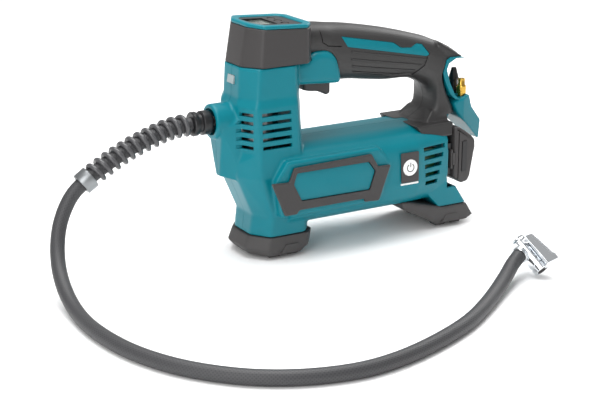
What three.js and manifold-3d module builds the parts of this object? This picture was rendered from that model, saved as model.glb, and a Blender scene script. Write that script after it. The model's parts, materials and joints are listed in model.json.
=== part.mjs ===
// Battery-powered hand-held air pump: upright pump tower, lying motor barrel, loop handle, two rubber
// feet and an air hose with a lever chuck. Millimetres, +Z up, hose at -X, power button on the -Y side.
// Origin: on the floor, under the middle of the pump without its hose.
import * as THREE from 'three';
import { ConvexGeometry } from 'three/addons/geometries/ConvexGeometry.js';
import { mergeVertices } from 'three/addons/utils/BufferGeometryUtils.js';
import Module from 'manifold-3d';

const wasm = await Module();
wasm.setup();

// ---- Driving dimensions ----------------------------------------------------------------------
const length = 247;            // hose boss to the tip of the rear cap
const height = 181;            // floor to the top of the gauge bezel, at its middle
const gaugeRise = 2.5;         // how far the bezel's front edge stands above its middle
const gap = 0.3;               // air between pieces that touch in the real pump
const wall = 2.4;              // housing wall
const gripWall = 2.8;          // soft grip over the handle core
const sideHalf = 37;           // half width of the motor barrel
const handleHalf = 17;         // half width of the handle
const towerHalf = 27.5;        // half width of the pump tower at its top
const barrelTop = 88.5;        // floor to the top of the motor barrel
const footTop = 18;            // floor to the top of the foot rubbers
const padHeight = 3;           // small pads under the feet
const collarHeight = 27;       // gauge collar
const bezelHeight = 3;         // ring over the collar
const bossZ = 109;             // height of the hose outlet
const bossRadius = 13.5;
const hoseRadius = 5.4;
const glandRadius = 9.3;
const glandLength = 15.5;
const guardRadius = 8.8;
const guardLength = 87;
const cuffRadius = 8.6;
const cuffLength = 9.5;
const hoseRoom = 0.9;          // between the hose and the guard around it
const boreRadius = 10;         // pump cylinder bore
const stroke = 8;              // piston travel
const gearModule = 0.8;
const gearTeeth = 40;
const pinionTeeth = 12;
const gearZ = 43;              // height of the crank gear axis
const gearWidth = 6;
const motorRadius = 18;
const motorLength = 58;
const triggerTravel = 6;
const triggerHalf = 7;
const batteryHalf = 31;
const rimWidth = 6;            // width of the bezel's rim
const lensHalf = 5;            // half width of the work light
const badgeDepth = 2.6;
const powerRadius = 6.7;

// Places: measured back from the front of the hose boss, forward from the rear tip, down from the top.
const front = (distance) => -length / 2 + distance;
const rear = (distance) => length / 2 - distance;
const below = (distance) => height - distance;
const collarTop = below(bezelHeight);
const collarBottom = collarTop - collarHeight;
const cylinderX = front(41);   // pump cylinder axis
const gearX = cylinderX + 6;   // front face of the crank gear
const motorZ = gearZ + gearModule * (gearTeeth + pinionTeeth) / 2;

// ---- Colours and finishes --------------------------------------------------------------------
const finish = (color, roughness, metalness) => (
  new THREE.MeshStandardMaterial({ color, roughness, metalness })
);
const teal = finish(0x0090a6, 0.4, 0);
const charcoal = finish(0x4e4c4d, 0.5, 0);
const softGrip = finish(0x3a3a3a, 0.8, 0);
const footRubber = finish(0x464545, 0.75, 0);
const black = finish(0x1d1d1f, 0.5, 0);
const white = finish(0xf2f2f0, 0.4, 0);
const clear = finish(0xcfe4ee, 0.1, 0);
const steel = finish(0xb9bcc0, 0.3, 1);
const chrome = finish(0xdcdfe2, 0.12, 1);
const castMetal = finish(0xa8abad, 0.45, 1);
const brass = finish(0xb8923c, 0.3, 1);
const board = finish(0x1f5a36, 0.6, 0);
const hoseRubber = finish(0x3d3d3f, 0.6, 0);

// ---- Geometry and booleans -------------------------------------------------------------------
function solidOf(geometry) {
  const bare = geometry.clone();
  bare.deleteAttribute('normal');
  bare.deleteAttribute('uv');
  const merged = mergeVertices(bare, 1e-4);
  const triVerts = new Uint32Array(merged.index.array);
  const vertProperties = merged.attributes.position.array;
  return new wasm.Manifold(new wasm.Mesh({ numProp: 3, vertProperties, triVerts }));
}

// Corners closer than a few microns are made one, and the slivers between them are left out.
function geometryOf(solid) {
  const mesh = solid.getMesh();
  const raw = new THREE.BufferGeometry();
  raw.setAttribute('position', new THREE.BufferAttribute(new Float32Array(mesh.vertProperties), 3));
  raw.setIndex(new THREE.BufferAttribute(new Uint32Array(mesh.triVerts), 1));
  const geometry = mergeVertices(raw, 2e-3);
  const corners = Array.from(geometry.index.array);
  const kept = corners.filter((_, i) => {
    const [a, b, c] = corners.slice(i - (i % 3), i - (i % 3) + 3);
    return a !== b && b !== c && c !== a;
  });
  geometry.setIndex(kept);
  geometry.computeVertexNormals();
  return geometry;
}

const join = (...solids) => solids.reduce((sum, solid) => sum.add(solid));
const cut = (solid, ...tools) => tools.reduce((rest, tool) => rest.subtract(tool), solid);

function block(x0, x1, y0, y1, z0, z1) {
  const geometry = new THREE.BoxGeometry(x1 - x0, y1 - y0, z1 - z0);
  return solidOf(geometry.translate((x0 + x1) / 2, (y0 + y1) / 2, (z0 + z1) / 2));
}

const hull = (points) => solidOf(new ConvexGeometry(points.map((p) => new THREE.Vector3(...p))));

// A skin over convex rings of equally many corners, from the first ring to the last, closed at both ends.
function loft(rings) {
  const sides = rings[0].length;
  const faces = [];
  for (let r = 1; r < rings.length; r += 1) {
    for (let i = 0; i < sides; i += 1) {
      const a = (r - 1) * sides + i;
      const b = (r - 1) * sides + (i + 1) % sides;
      faces.push(a, b + sides, b, a, a + sides, b + sides);
    }
  }
  const last = (rings.length - 1) * sides;
  for (let i = 2; i < sides; i += 1) {
    faces.push(0, i - 1, i, last, last + i, last + i - 1);
  }
  const geometry = new THREE.BufferGeometry();
  geometry.setAttribute('position', new THREE.Float32BufferAttribute(rings.flat(2), 3));
  geometry.setIndex(faces);
  return solidOf(geometry);
}

// A cylinder from one point towards another along X, Y or Z.
function rod(axis, radius, from, to, [a, b], segments = 20) {
  const geometry = new THREE.CylinderGeometry(radius, radius, to - from, segments);
  const middle = (from + to) / 2;
  if (axis === 'x') geometry.rotateZ(-Math.PI / 2).translate(middle, a, b);
  if (axis === 'y') geometry.translate(a, middle, b);
  if (axis === 'z') geometry.rotateX(Math.PI / 2).translate(a, b, middle);
  return solidOf(geometry);
}

// A turned piece: [radius, distance along the axis] from axis to axis.
function turned(profile, segments = 16) {
  const points = profile.map(([r, z]) => new THREE.Vector2(r, z));
  return new THREE.LatheGeometry(points, segments).rotateX(Math.PI / 2);
}

const shapeOf = (outline) => new THREE.Shape(outline.map(([a, b]) => new THREE.Vector2(a, b)));

// An outline in X and Z, made solid between two Y values, with an optional bevel inside its size.
function slab(outline, y0, y1, bevel = 0, segments = 1) {
  const geometry = new THREE.ExtrudeGeometry(shapeOf(outline), {
    depth: y1 - y0 - 2 * bevel,
    bevelEnabled: bevel > 0,
    bevelThickness: bevel,
    bevelSize: bevel,
    bevelOffset: -bevel,
    bevelSegments: segments,
  });
  return solidOf(geometry.rotateX(Math.PI / 2).translate(0, y1 - bevel, 0));
}

// Moves each side of an outline inwards by the same distance.
function inset(outline, distance) {
  const area = outline.reduce((sum, [x, y], i) => {
    const [u, v] = outline[(i + 1) % outline.length];
    return sum + x * v - u * y;
  }, 0);
  const side = Math.sign(area);
  return outline.map(([x, y], i) => {
    const [px, py] = outline[(i + outline.length - 1) % outline.length];
    const [nx, ny] = outline[(i + 1) % outline.length];
    const before = new THREE.Vector2(x - px, y - py).normalize();
    const after = new THREE.Vector2(nx - x, ny - y).normalize();
    const reach = distance * side / (1 + before.dot(after));
    return [x - (before.y + after.y) * reach, y + (before.x + after.x) * reach];
  });
}

const mirrored = (half) => [...half, ...half.filter(([, y]) => y !== 0).reverse().map(([x, y]) => [x, -y])];

// ---- Housing form ----------------------------------------------------------------------------
// A level cut through the tower: flat face, corner, flat side, back corner, back.
const faceShare = 0.46;        // half width of the tower's flat face, as a share of the tower's
function towerRing(z, face, corner, side, back, inwards = 0) {
  const half = [
    [front(face), side * faceShare],
    [front(corner), side],
    [front(back - 7), side],
    [front(back), side * 0.7],
  ];
  return inset(mirrored(half), inwards).map(([x, y]) => [x, y, z]);
}

const towerShoulderZ = bossZ + 12.5;
const ledge = 1.5;             // how far the tower's lower part stands out under its shoulder
function towerForm(t) {
  const lowerSide = towerHalf + ledge;
  const rings = [
    towerRing(footTop + gap + t, 26, 36.5, lowerSide - 1, 74, t),
    towerRing(34, 28.5, 37, lowerSide, 74, t),
    towerRing(67, 14.5, 26.5, sideHalf - 5, 82, t),
    towerRing(78, 14.5, 26, sideHalf - 5.5, 72, t),
    towerRing(86, 17, 26, sideHalf - 6, 68, t),
    towerRing(towerShoulderZ - t, 16, 25, lowerSide, 67, t),
    towerRing(towerShoulderZ + 5 - t, 18.2, 27, towerHalf, 67, t),
    towerRing(collarBottom - gap - t, 19.5, 29, towerHalf - 0.5, 67, t),
  ];
  return join(...rings.slice(1).map((ring, i) => hull([...rings[i], ...ring])));
}

const gussetFoot = 66;
function bossForm(t) {
  const r = bossRadius - t;
  return join(
    rod('x', r, t > 0 ? front(-1) : front(0), front(25), [0, bossZ], 32),
    hull([
      [front(4) + t, -r * 0.9, bossZ - 4],
      [front(4) + t, r * 0.9, bossZ - 4],
      [front(6) + t, -3 + t / 2, gussetFoot + t],
      [front(6) + t, 3 - t / 2, gussetFoot + t],
      [front(20), -r - 4, bossZ + 2],
      [front(20), r + 4, bossZ + 2],
      [front(20), -r - 3, gussetFoot - 4 + t],
      [front(20), r + 3, gussetFoot - 4 + t],
      [front(8) + t, 0, bossZ + r],
    ]),
  );
}

const barrelFront = 51;
const barrelBack = 47.5;       // rear wall of the barrel, ahead of the rear tip
function barrelSection(x, share, t) {
  const half = [
    [0, barrelTop], [18, barrelTop - 1], [28, barrelTop - 4], [sideHalf - 1.5, barrelTop - 11],
    [sideHalf, barrelTop - 21], [sideHalf, 44], [sideHalf - 4, 32.5], [24, 25.2], [0, 23.5],
  ];
  const outline = mirrored(half.map(([y, z]) => [z, y * share])).map(([z, y]) => [y, z]);
  return inset(outline, t).map(([y, z]) => [x, y, z]);
}

function barrelForm(t) {
  const middle = rear(80);
  const back = rear(barrelBack) - t;
  return join(
    hull([...barrelSection(front(barrelFront), 1, t), ...barrelSection(middle, 1, t)]),
    hull([...barrelSection(middle, 1, t), ...barrelSection(back, 0.84, t)]),
  );
}

const plan = (outline, z) => outline.map(([x, y]) => [x, y, z]);
function rearNeckForm(t) {
  const ring = (x0, x1, y) => inset([[x0, -y], [x1, -y], [x1, y], [x0, y]], t);
  return hull([
    ...plan(ring(rear(54), rear(27), 29), footTop + gap + t),
    ...plan(ring(rear(70), rear(39), 30), 36),
    ...plan(ring(rear(74), rear(50), 30), 44),
  ]);
}

// The handle as cuts across it, from the tower over the top and down to the barrel: the outer point and
// the inner point of each cut, seen from the side, and its half width.
const handleCuts = [
  { outer: [front(64), below(3.6)], inner: [front(64), below(30)], half: handleHalf },
  { outer: [front(90), below(4.7)], inner: [front(90), below(32)], half: handleHalf },
  { outer: [front(103), below(6.2)], inner: [front(103), below(49)], half: handleHalf },
  { outer: [front(121), below(8.4)], inner: [front(121), below(52)], half: handleHalf },
  { outer: [rear(96), below(14)], inner: [rear(96), below(56)], half: handleHalf },
  { outer: [rear(72), below(20)], inner: [rear(73), below(57)], half: handleHalf },
  { outer: [rear(51), below(26.5)], inner: [rear(58.5), below(63)], half: handleHalf + 0.5 },
  { outer: [rear(38), below(35)], inner: [rear(54.5), below(67.5)], half: handleHalf + 1 },
  { outer: [rear(43.5), below(49.5)], inner: [rear(52.6), below(73)], half: handleHalf + 1 },
  { outer: [rear(40.5), below(64)], inner: [rear(52.8), below(78.5)], half: handleHalf + 1.5 },
  { outer: [rear(34.5), below(76)], inner: [rear(55.5), below(84.5)], half: handleHalf + 2 },
  { outer: [rear(30), below(85)], inner: [rear(62), below(89)], half: handleHalf + 3 },
  { outer: [rear(30), barrelTop - 1], inner: [rear(69), barrelTop - 1], half: handleHalf + 3 },
  { outer: [rear(49), barrelTop - 18], inner: [rear(78), barrelTop - 18], half: handleHalf + 3 },
];
const handleChamfer = 6;
function handleCut({ outer, inner, half }, t) {
  const along = new THREE.Vector2(outer[0] - inner[0], outer[1] - inner[1]);
  const centre = new THREE.Vector2((outer[0] + inner[0]) / 2, (outer[1] + inner[1]) / 2);
  const h = along.length() / 2 - t;
  const w = half - t;
  const c = Math.min(handleChamfer - t * 0.6, h * 0.6);
  along.normalize();
  const corners = [
    [w - c, h], [w, h - c], [w, c - h], [w - c, -h], [c - w, -h], [-w, c - h], [-w, h - c], [c - w, h],
  ];
  return corners.map(([y, v]) => [centre.x + along.x * v, y, centre.y + along.y * v]);
}

const beak = [
  [rear(46), below(28.5)], [rear(38), below(33)], [rear(29), below(38.6)], [rear(23.5), below(43)],
  [rear(33), below(42.6)], [rear(42), below(46)],
];
function handleForm(t) {
  const sweep = loft(handleCuts.map((place) => handleCut(place, t)));
  return t > 0 ? sweep : join(sweep, slab(inset(beak, t), -handleHalf + 2 + t, handleHalf - 2 - t));
}

const skirtHalf = 30;
function columnSkirt(t) {
  const box = (x0, x1, y, z) => plan(inset([[x0, -y], [x1, -y], [x1, y], [x0, y]], t), z);
  return join(
    hull([
      ...box(rear(70), rear(43), skirtHalf, 78 + t),
      ...box(rear(77), rear(41), skirtHalf - 2, barrelTop - t),
    ]),
    hull([
      ...box(rear(67.5), rear(41), skirtHalf - 7, barrelTop - 4),
      ...box(rear(55), rear(37), handleHalf, 97 - t),
    ]),
  );
}

const triggerHousing = [
  [front(62), below(48)], [front(62), below(31)], [front(71), below(30)], [front(81), below(24)],
  [front(94), below(24)], [front(101), below(30)], [front(105), below(43)], [front(105), below(51)],
];
const housingHalf = 20;
const triggerHousingForm = (t) => (
  slab(inset(triggerHousing, t), -housingHalf + t, housingHalf - t, Math.max(5 - t, 1), 2)
);

// ---- Scene graph -----------------------------------------------------------------------------
const pump = new THREE.Group();
function add(name, shape, material, parent = pump) {
  const mesh = new THREE.Mesh(shape.isBufferGeometry ? shape : geometryOf(shape), material);
  mesh.name = name;
  parent.add(mesh);
  return mesh;
}

// ---- Openings in the housing -----------------------------------------------------------------
const ventPitch = 6.3;
const ventHeight = 2.8;
const rearVentHeight = 3.6;
const ventCount = 5;
function towerVents() {
  const slots = [];
  for (let i = 0; i < ventCount; i += 1) {
    const z = towerShoulderZ - 4 - i * ventPitch;
    slots.push(block(front(29), front(54), -45, 45, z - ventHeight, z));
    slots.push(block(front(14), front(27), -26, -15, z - ventHeight, z));
    slots.push(block(front(14), front(27), 15, 26, z - ventHeight, z));
  }
  return slots;
}

function rearVents() {
  const slots = [];
  for (let i = 0; i < ventCount; i += 1) {
    const z = 73 - i * (ventPitch + 0.8);
    slots.push(block(rear(75 - i * 0.7), rear(51.5 + i * 1.8), -45, 45, z - rearVentHeight, z));
  }
  return slots;
}

// ---- Badge, power plate ----------------------------------------------------------------------
const ear = front(31);
const badgeRear = front(137.6);
const bx = (x) => ear + (badgeRear - ear) * (x - 10) / 106.6;
const padOutline = [
  [bx(15), 65.5], [bx(25), 80], [bx(108), 80], [bx(119), 65.5], [bx(109), 36], [bx(20), 36],
];
const frameOutline = [
  [bx(10), 65.4], [bx(25.1), 64.5], [bx(29.5), 75], [bx(98.6), 76.5], [bx(104.9), 65.7], [bx(116.6), 65.4],
  [bx(106.2), 37.8], [bx(93), 38.3], [bx(92.3), 41.2], [bx(33.8), 41.2], [bx(31.7), 38.2], [bx(21.4), 38.4],
];
const windowOutline = [
  [bx(31.5), 71], [bx(96.3), 70.8], [bx(102.6), 62.4], [bx(97.4), 47.6], [bx(35.9), 48.2], [bx(28.6), 62.3],
];
const padFace = sideHalf + 0.8;
function sideSlab(outline, side, y0, y1, bevel = 0) {
  return side < 0 ? slab(outline, -y1, -y0, bevel) : slab(outline, y0, y1, bevel);
}

function addBadge(side, label) {
  const inner = padFace + gap;
  const ring = cut(
    sideSlab(frameOutline, side, inner, inner + badgeDepth, 0.8),
    sideSlab(windowOutline, side, inner - 1, inner + badgeDepth + 1),
  );
  add(`badge_frame_${label}`, ring, charcoal);
  const plateTop = inner + badgeDepth * 0.5;
  add(`badge_plate_${label}`, sideSlab(inset(windowOutline, gap), side, inner, plateTop), teal);
}

const powerX = front(157.5);
const powerZ = 59.5;
const powerPlate = [
  [powerX - 9, powerZ + 12.5], [powerX + 8, powerZ + 12.5],
  [powerX + 8.5, powerZ - 12], [powerX - 8, powerZ - 12],
];

// ---- Housing shells --------------------------------------------------------------------------
const screwPlaces = [
  [front(60), below(44)], [front(30), 46], [front(104), 27.5], [rear(62), 29], [rear(66), below(40)],
];
const postRadius = 3.6;
const screwRadius = 1.5;
const headRadius = 2.9;
const postDepth = [24, 24, 24, 26, 12];

const triggerX0 = front(78);
const triggerX1 = front(102);
const triggerSlot = block(
  triggerX0 - gap, triggerX1 + 0.6, -triggerHalf - gap, triggerHalf + gap, below(70), below(33.4),
);

const railX = rear(47.2);      // front of the battery bay
function bayForm() {
  return block(railX, rear(-5), -60, 60, 34, below(95.5));
}

function shellForm() {
  const outer = join(
    towerForm(0), bossForm(0), barrelForm(0), rearNeckForm(0), handleForm(gripWall + gap),
    triggerHousingForm(0),
    slab(padOutline, -padFace, padFace, 2),
  );
  const hollow = join(
    towerForm(wall), bossForm(wall), barrelForm(wall), rearNeckForm(wall),
    handleForm(gripWall + gap + wall - 0.4), triggerHousingForm(wall),
  );
  return { outer, hollow };
}

function addHousing() {
  const { outer, hollow } = shellForm();
  const lensHole = lensHalf + gap;
  const lensPocket = block(front(0), front(24), -lensHole, lensHole, below(44) - gap, below(38) + gap);
  const posts = screwPlaces.map(([x, z], i) => (
    rod('y', postRadius, -postDepth[i], postDepth[i], [x, z], 12)
  ));
  let body = cut(outer, hollow);
  body = body.add(join(...posts).intersect(outer));
  body = cut(
    body, ...towerVents(), ...rearVents(), lensPocket, triggerSlot, bayForm(),
    collarSpace(), block(front(0), front(collarBack - 8), -60, 60, collarBottom - gap, height + 5),
    rod('x', bossRadius - 3.6, front(-5), front(30), [0, bossZ]),
    rod('y', powerRadius + gap, -50, -20, [powerX, powerZ]),
    block(railX - 3, rear(20), -12, 12, 40, 76),
  );
  screwPlaces.forEach(([x, z], i) => {
    body = body.subtract(rod('y', screwRadius + gap, -postDepth[i] + 6, 60, [x, z], 12));
    body = body.subtract(rod('y', headRadius + gap, postDepth[i] - 5, 60, [x, z], 12));
  });
  const big = 400;
  const right = body.intersect(block(-big, big, -big, -gap / 2, -big, big));
  const left = body.intersect(block(-big, big, gap / 2, big, -big, big));
  add('housing_right', largest(right), teal);
  add('housing_left', largest(left), teal);
}

// Keeps the main body where a cut has freed a crumb of wall.
function largest(solid) {
  return solid.decompose().reduce((best, piece) => (piece.volume() > best.volume() ? piece : best));
}

function addScrews() {
  screwPlaces.forEach(([x, z], i) => {
    const seat = postDepth[i] - 5;
    const screw = join(
      rod('y', screwRadius, -postDepth[i] + 7, seat + 1, [x, z], 10),
      rod('y', headRadius, seat + gap, seat + 2.3, [x, z], 12),
    );
    add(`housing_screw_${i + 1}`, screw, steel);
  });
}

// ---- Soft grip -------------------------------------------------------------------------------
const capOutline = [
  [rear(21.5), below(76)], [rear(17), below(75)], [rear(13), below(86)], [rear(0), below(100)],
  [rear(2), below(116)], [rear(20), below(99)], [rear(27), below(93)], [rear(30.5), below(88)],
  [rear(33.5), below(81)], [rear(30), below(78)],
];
// The rear wall of the handle's niche, from the beak down to the cap.
const nicheLine = [
  [rear(24), below(43.4)], [rear(33), below(43)], [rear(40), below(46.6)], [rear(42), below(51.5)],
  [rear(38.8), below(62)], [rear(33), below(73.5)], [rear(28), below(78)],
];
const linerThickness = 2.2;
const capHalf = 18;
const tailHalf = 9;            // half width of the cap's tip

function addGrip() {
  const solid = join(handleForm(0), columnSkirt(0));
  const body = cut(
    solid,
    join(handleForm(gripWall), columnSkirt(gripWall)),
    towerForm(-gap), barrelForm(-gap), triggerHousingForm(-gap), bayForm(),
    block(front(0), front(collarBack + 1), -60, 60, collarBottom - 20, height), collarSpace(),
    slab(inset(capOutline, -gap), -capHalf - gap, capHalf + gap),
  );
  const big = 400;
  const right = body.intersect(block(-big, big, -big, -gap / 2, -big, big));
  const left = body.intersect(block(-big, big, gap / 2, big, -big, big));
  add('grip_right', largest(right), softGrip);
  add('grip_left', largest(left), softGrip);
}

// ---- Gauge on top ----------------------------------------------------------------------------
const collarFace = 25;         // flat face of the collar's top, behind the hose boss
const buttonPitch = 11;
// Height above the level bezel of a place that far behind the hose boss.
const lift = (distance) => Math.max(0, gaugeRise * (60 - distance) / (60 - collarFace));
const tilted = (ring, z) => ring.map(([x, y]) => [x, y, z + lift(x - front(0))]);
const collarBack = 77.5;       // back of the collar and the bezel
const collarRing = (t) => towerRing(0, 20, 30.8, towerHalf - 0.3, collarBack, t);
const collarRingTop = (t) => towerRing(0, collarFace, 33, towerHalf - 0.6, collarBack, t);
const collarSpace = () => hull([
  ...plan(collarRing(-gap), collarBottom - gap), ...plan(collarRingTop(-gap), height + 2 * gaugeRise),
]);

function addGauge() {
  const shell = cut(
    hull([...plan(collarRing(0), collarBottom), ...tilted(collarRingTop(0), collarTop - gap)]),
    hull([...plan(collarRing(wall), collarBottom - 1), ...plan(collarRingTop(wall), height + 5)]),
  );
  add('gauge_collar', shell, charcoal);
  const rimOut = towerRing(0, collarFace + 0.4, 33.4, towerHalf - 0.4, collarBack);
  const rim = (t, z) => tilted(inset(rimOut, t), z);
  const bezel = cut(
    hull([...rim(0, collarTop), ...rim(0, height - 1), ...rim(1.2, height)]),
    hull([...plan(inset(rimOut, rimWidth), collarTop - 1), ...plan(inset(rimOut, rimWidth), height + 5)]),
  );
  add('gauge_bezel', bezel, teal);
  const panelTop = height - 1.2;
  const windowBox = [front(34), front(52), -13, 13];
  const buttons = [-buttonPitch, 0, buttonPitch];
  const buttonX = front(59);
  const panel = cut(
    hull([...rim(rimWidth + gap, collarTop - 2), ...rim(rimWidth + gap, panelTop)]),
    block(windowBox[0], windowBox[1], windowBox[2], windowBox[3], 0, height + 5),
    ...buttons.map((y) => rod('z', 3.4, 0, height + 5, [buttonX, y], 16)),
  );
  add('gauge_panel', panel, black);
  const [x0, x1, y0, y1] = windowBox;
  add('gauge_window', block(x0 + gap, x1 - gap, y0 + gap, y1 - gap, panelTop - 2, panelTop - 0.2), clear);
  ['minus_button', 'unit_button', 'plus_button'].forEach((name, i) => {
    const cap = turned([[0, 0], [4.2, 0], [4.2, 1], [3.1, 1], [3.1, 5], [2.5, 5.5], [0, 5.5]], 12);
    add(name, cap.translate(buttonX, buttons[i], collarTop - 2 - gap - 1), charcoal);
  });
  add('gauge_board', block(front(32), front(62), -17, 17, collarTop - 8, collarTop - 6.4), board);
  const lens = hull([
    [front(17.4), -lensHalf, below(44)], [front(18.6), -lensHalf, below(38)],
    [front(17.4), lensHalf, below(44)], [front(18.6), lensHalf, below(38)],
    [front(22), -lensHalf, below(44)], [front(22), lensHalf, below(44)],
    [front(22), -lensHalf, below(38)], [front(22), lensHalf, below(38)],
  ]);
  add('work_light_lens', lens, clear);
}

// ---- Trigger ---------------------------------------------------------------------------------
function addTrigger() {
  const outline = [
    [triggerX0, below(40)], [triggerX0, below(56)], [front(84), below(58.5)], [front(95), below(60)],
    [front(98), below(62)], [triggerX1, below(61)], [triggerX1, below(46)], [front(90), below(40)],
  ];
  const springX = front(84);
  const springRadius = 2.6;
  const springFoot = below(40) + gap;
  add('trigger', cut(
    slab(outline, -triggerHalf, triggerHalf, 1.5),
    rod('z', springRadius + 1, below(40) - triggerTravel - gap, height, [springX, 0], 16),
  ), charcoal);
  const springTop = below(32) - gap;
  const coils = 3.5;
  class Helix extends THREE.Curve {
    getPoint(u, target = new THREE.Vector3()) {
      const a = u * coils * 2 * Math.PI;
      const z = springFoot + 0.5 + (springTop - springFoot - 1) * u;
      return target.set(springX + springRadius * Math.cos(a), springRadius * Math.sin(a), z);
    }
  }
  const wire = new THREE.Shape().absarc(0, 0, 0.45, 0, 2 * Math.PI);
  const coil = new THREE.ExtrudeGeometry(wire, { steps: 36, curveSegments: 2, extrudePath: new Helix() });
  add('trigger_spring', coil, steel);
  add('trigger_switch', block(front(80), front(98), -6, 6, below(32), below(29.5)), black);
}

// ---- Feet ------------------------------------------------------------------------------------
function addFeet() {
  const pads = (xs, y) => join(...xs.flatMap(([a, b]) => [
    block(a, b, -y - 4, -y + 4, 0, padHeight + 1), block(a, b, y - 4, y + 4, 0, padHeight + 1),
  ]));
  const side = towerHalf + 3;
  add('front_foot', join(
    hull([
      ...towerRing(padHeight, 25.5, 36, side - 2, 69),
      ...towerRing(8.5, 20.5, 33, side - 0.5, 75),
      ...towerRing(footTop, 24.2, 36, side - 1.5, 77),
    ]),
    pads([[front(38), front(48)], [front(54), front(64)]], 18),
  ), footRubber);
  const ring = (x0, x1, y) => [[x0, -y], [x1, -y], [x1, y], [x0, y]];
  const shoe = join(
    hull([
      ...plan(ring(rear(55), rear(25), side - 3), padHeight),
      ...plan(ring(rear(62), rear(20.5), side - 0.5), 7.5),
      ...plan(ring(rear(62), rear(27), side), footTop),
    ]),
    hull([
      ...plan(ring(rear(62), rear(50), side - 0.5), 7.5),
      ...plan(ring(rear(62), rear(50), side), footTop),
      ...plan(ring(rear(88), rear(84), side - 3), footTop + 3),
      ...plan(ring(rear(90), rear(84), side - 3), footTop + 9),
    ]),
  );
  const underside = cut(shoe, barrelForm(-gap), rearNeckForm(-gap));
  const rearPads = pads([[rear(50), rear(40)], [rear(34), rear(24)]], 18);
  add('rear_foot', join(largest(underside), rearPads), footRubber);
}

// ---- Rear cap, adapters, battery -------------------------------------------------------------
const adapterX = rear(22);
const adapterPitch = 11;
const shelfZ = below(76);
function addRear() {
  const taper = hull([50, 120].flatMap((z) => plan([
    [rear(60), -capHalf], [rear(24), -capHalf], [rear(-1), -tailHalf],
    [rear(-1), tailHalf], [rear(24), capHalf], [rear(60), capHalf],
  ], z)));
  const cap = slab(capOutline, -capHalf, capHalf, 1.2).intersect(taper);
  const pegHoles = [-adapterPitch, 0, adapterPitch]
    .map((y) => rod('z', 3.3, shelfZ - 12, shelfZ + 5, [adapterX, y], 12));
  add('rear_cap', largest(cut(cap, ...pegHoles, handleForm(gripWall))), teal);
  const shapes = [
    [
      [0, -5], [2.6, -5], [2.6, 1.6], [4.4, 1.6], [4.4, 4],
      [2.8, 5], [2.8, 9], [1.2, 11], [1.2, 22], [0, 23],
    ],
    [
      [0, -5], [2.6, -5], [2.6, 1.6], [4.6, 1.6], [4.6, 4],
      [3.6, 6], [3.6, 10], [4.4, 12], [2, 21], [0, 21],
    ],
    [[0, -5], [2.6, -5], [2.6, 1.6], [4, 1.6], [4, 8], [2.9, 9], [2.9, 14], [0, 14]],
  ];
  ['adapter_needle', 'adapter_cone', 'adapter_valve'].forEach((name, i) => {
    const mesh = add(name, turned(shapes[i], 10), [steel, black, brass][i]);
    mesh.position.set(adapterX, adapterPitch * (1 - i), shelfZ);
  });

  const linerBack = nicheLine.map(([x, z]) => [x - 2 * linerThickness, z + 1]).reverse();
  const liner = cut(
    slab([...nicheLine, ...linerBack], -capHalf, capHalf),
    handleForm(-gap), slab(inset(capOutline, -gap), -capHalf - 1, capHalf + 1),
  );
  add('niche_liner', largest(liner), teal);

  const batteryX0 = rear(41);
  const outline = [
    [batteryX0, 84.3], [batteryX0, 42], [rear(33), 36], [rear(27), 37], [rear(24.5), 41],
    [rear(21), 61], [rear(20), 65], [rear(20.3), 71.5], [rear(24), 75.5], [rear(36), 84],
  ];
  const tongue = join(
    block(railX + 2.6, railX + 4.2, -batteryHalf, batteryHalf, 50, 66),
    block(railX + 3.6, batteryX0 + 0.5, -batteryHalf, batteryHalf, 53, 63),
  );
  const latchHole = block(rear(34), rear(29), -batteryHalf - 5, -batteryHalf + 4, 46, 72);
  const shell = slab(outline, -batteryHalf, batteryHalf, 1.5);
  add('battery_pack', cut(join(shell, tongue), latchHole), charcoal);
  add('battery_latch', block(
    rear(34) + gap, rear(29) - gap, -batteryHalf - 0.6, -batteryHalf + 4 - 1.6, 46 + gap, 72 - gap,
  ), black);
  const channel = cut(
    block(railX + gap, batteryX0 - gap, -batteryHalf + 4, batteryHalf, 44, 70.4),
    block(railX + 2.2, railX + 4.6, -50, 50, 49.6, 66.4),
    block(railX + 3.2, batteryX0 + 1, -50, 50, 52.6, 63.4),
  );
  add('terminal_block', channel, black);
}

// ---- Motor and drive -------------------------------------------------------------------------
function gearOutline(teeth) {
  const pitch = gearModule * teeth / 2;
  const points = [];
  for (let i = 0; i < teeth; i += 1) {
    const a = i * 2 * Math.PI / teeth;
    const step = 2 * Math.PI / teeth;
    [[-0.3, -1.15], [-0.12, 0.8], [0.12, 0.8], [0.3, -1.15]].forEach(([turn, out]) => {
      const r = pitch + out * gearModule;
      points.push([r * Math.cos(a + turn * step), r * Math.sin(a + turn * step)]);
    });
  }
  return points;
}

function gear(teeth, x0, x1, phase) {
  const options = { depth: x1 - x0, bevelEnabled: false };
  const geometry = new THREE.ExtrudeGeometry(shapeOf(gearOutline(teeth)), options);
  geometry.rotateZ(phase).rotateY(Math.PI / 2);
  return solidOf(geometry.translate(x0, 0, 0));
}

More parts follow.
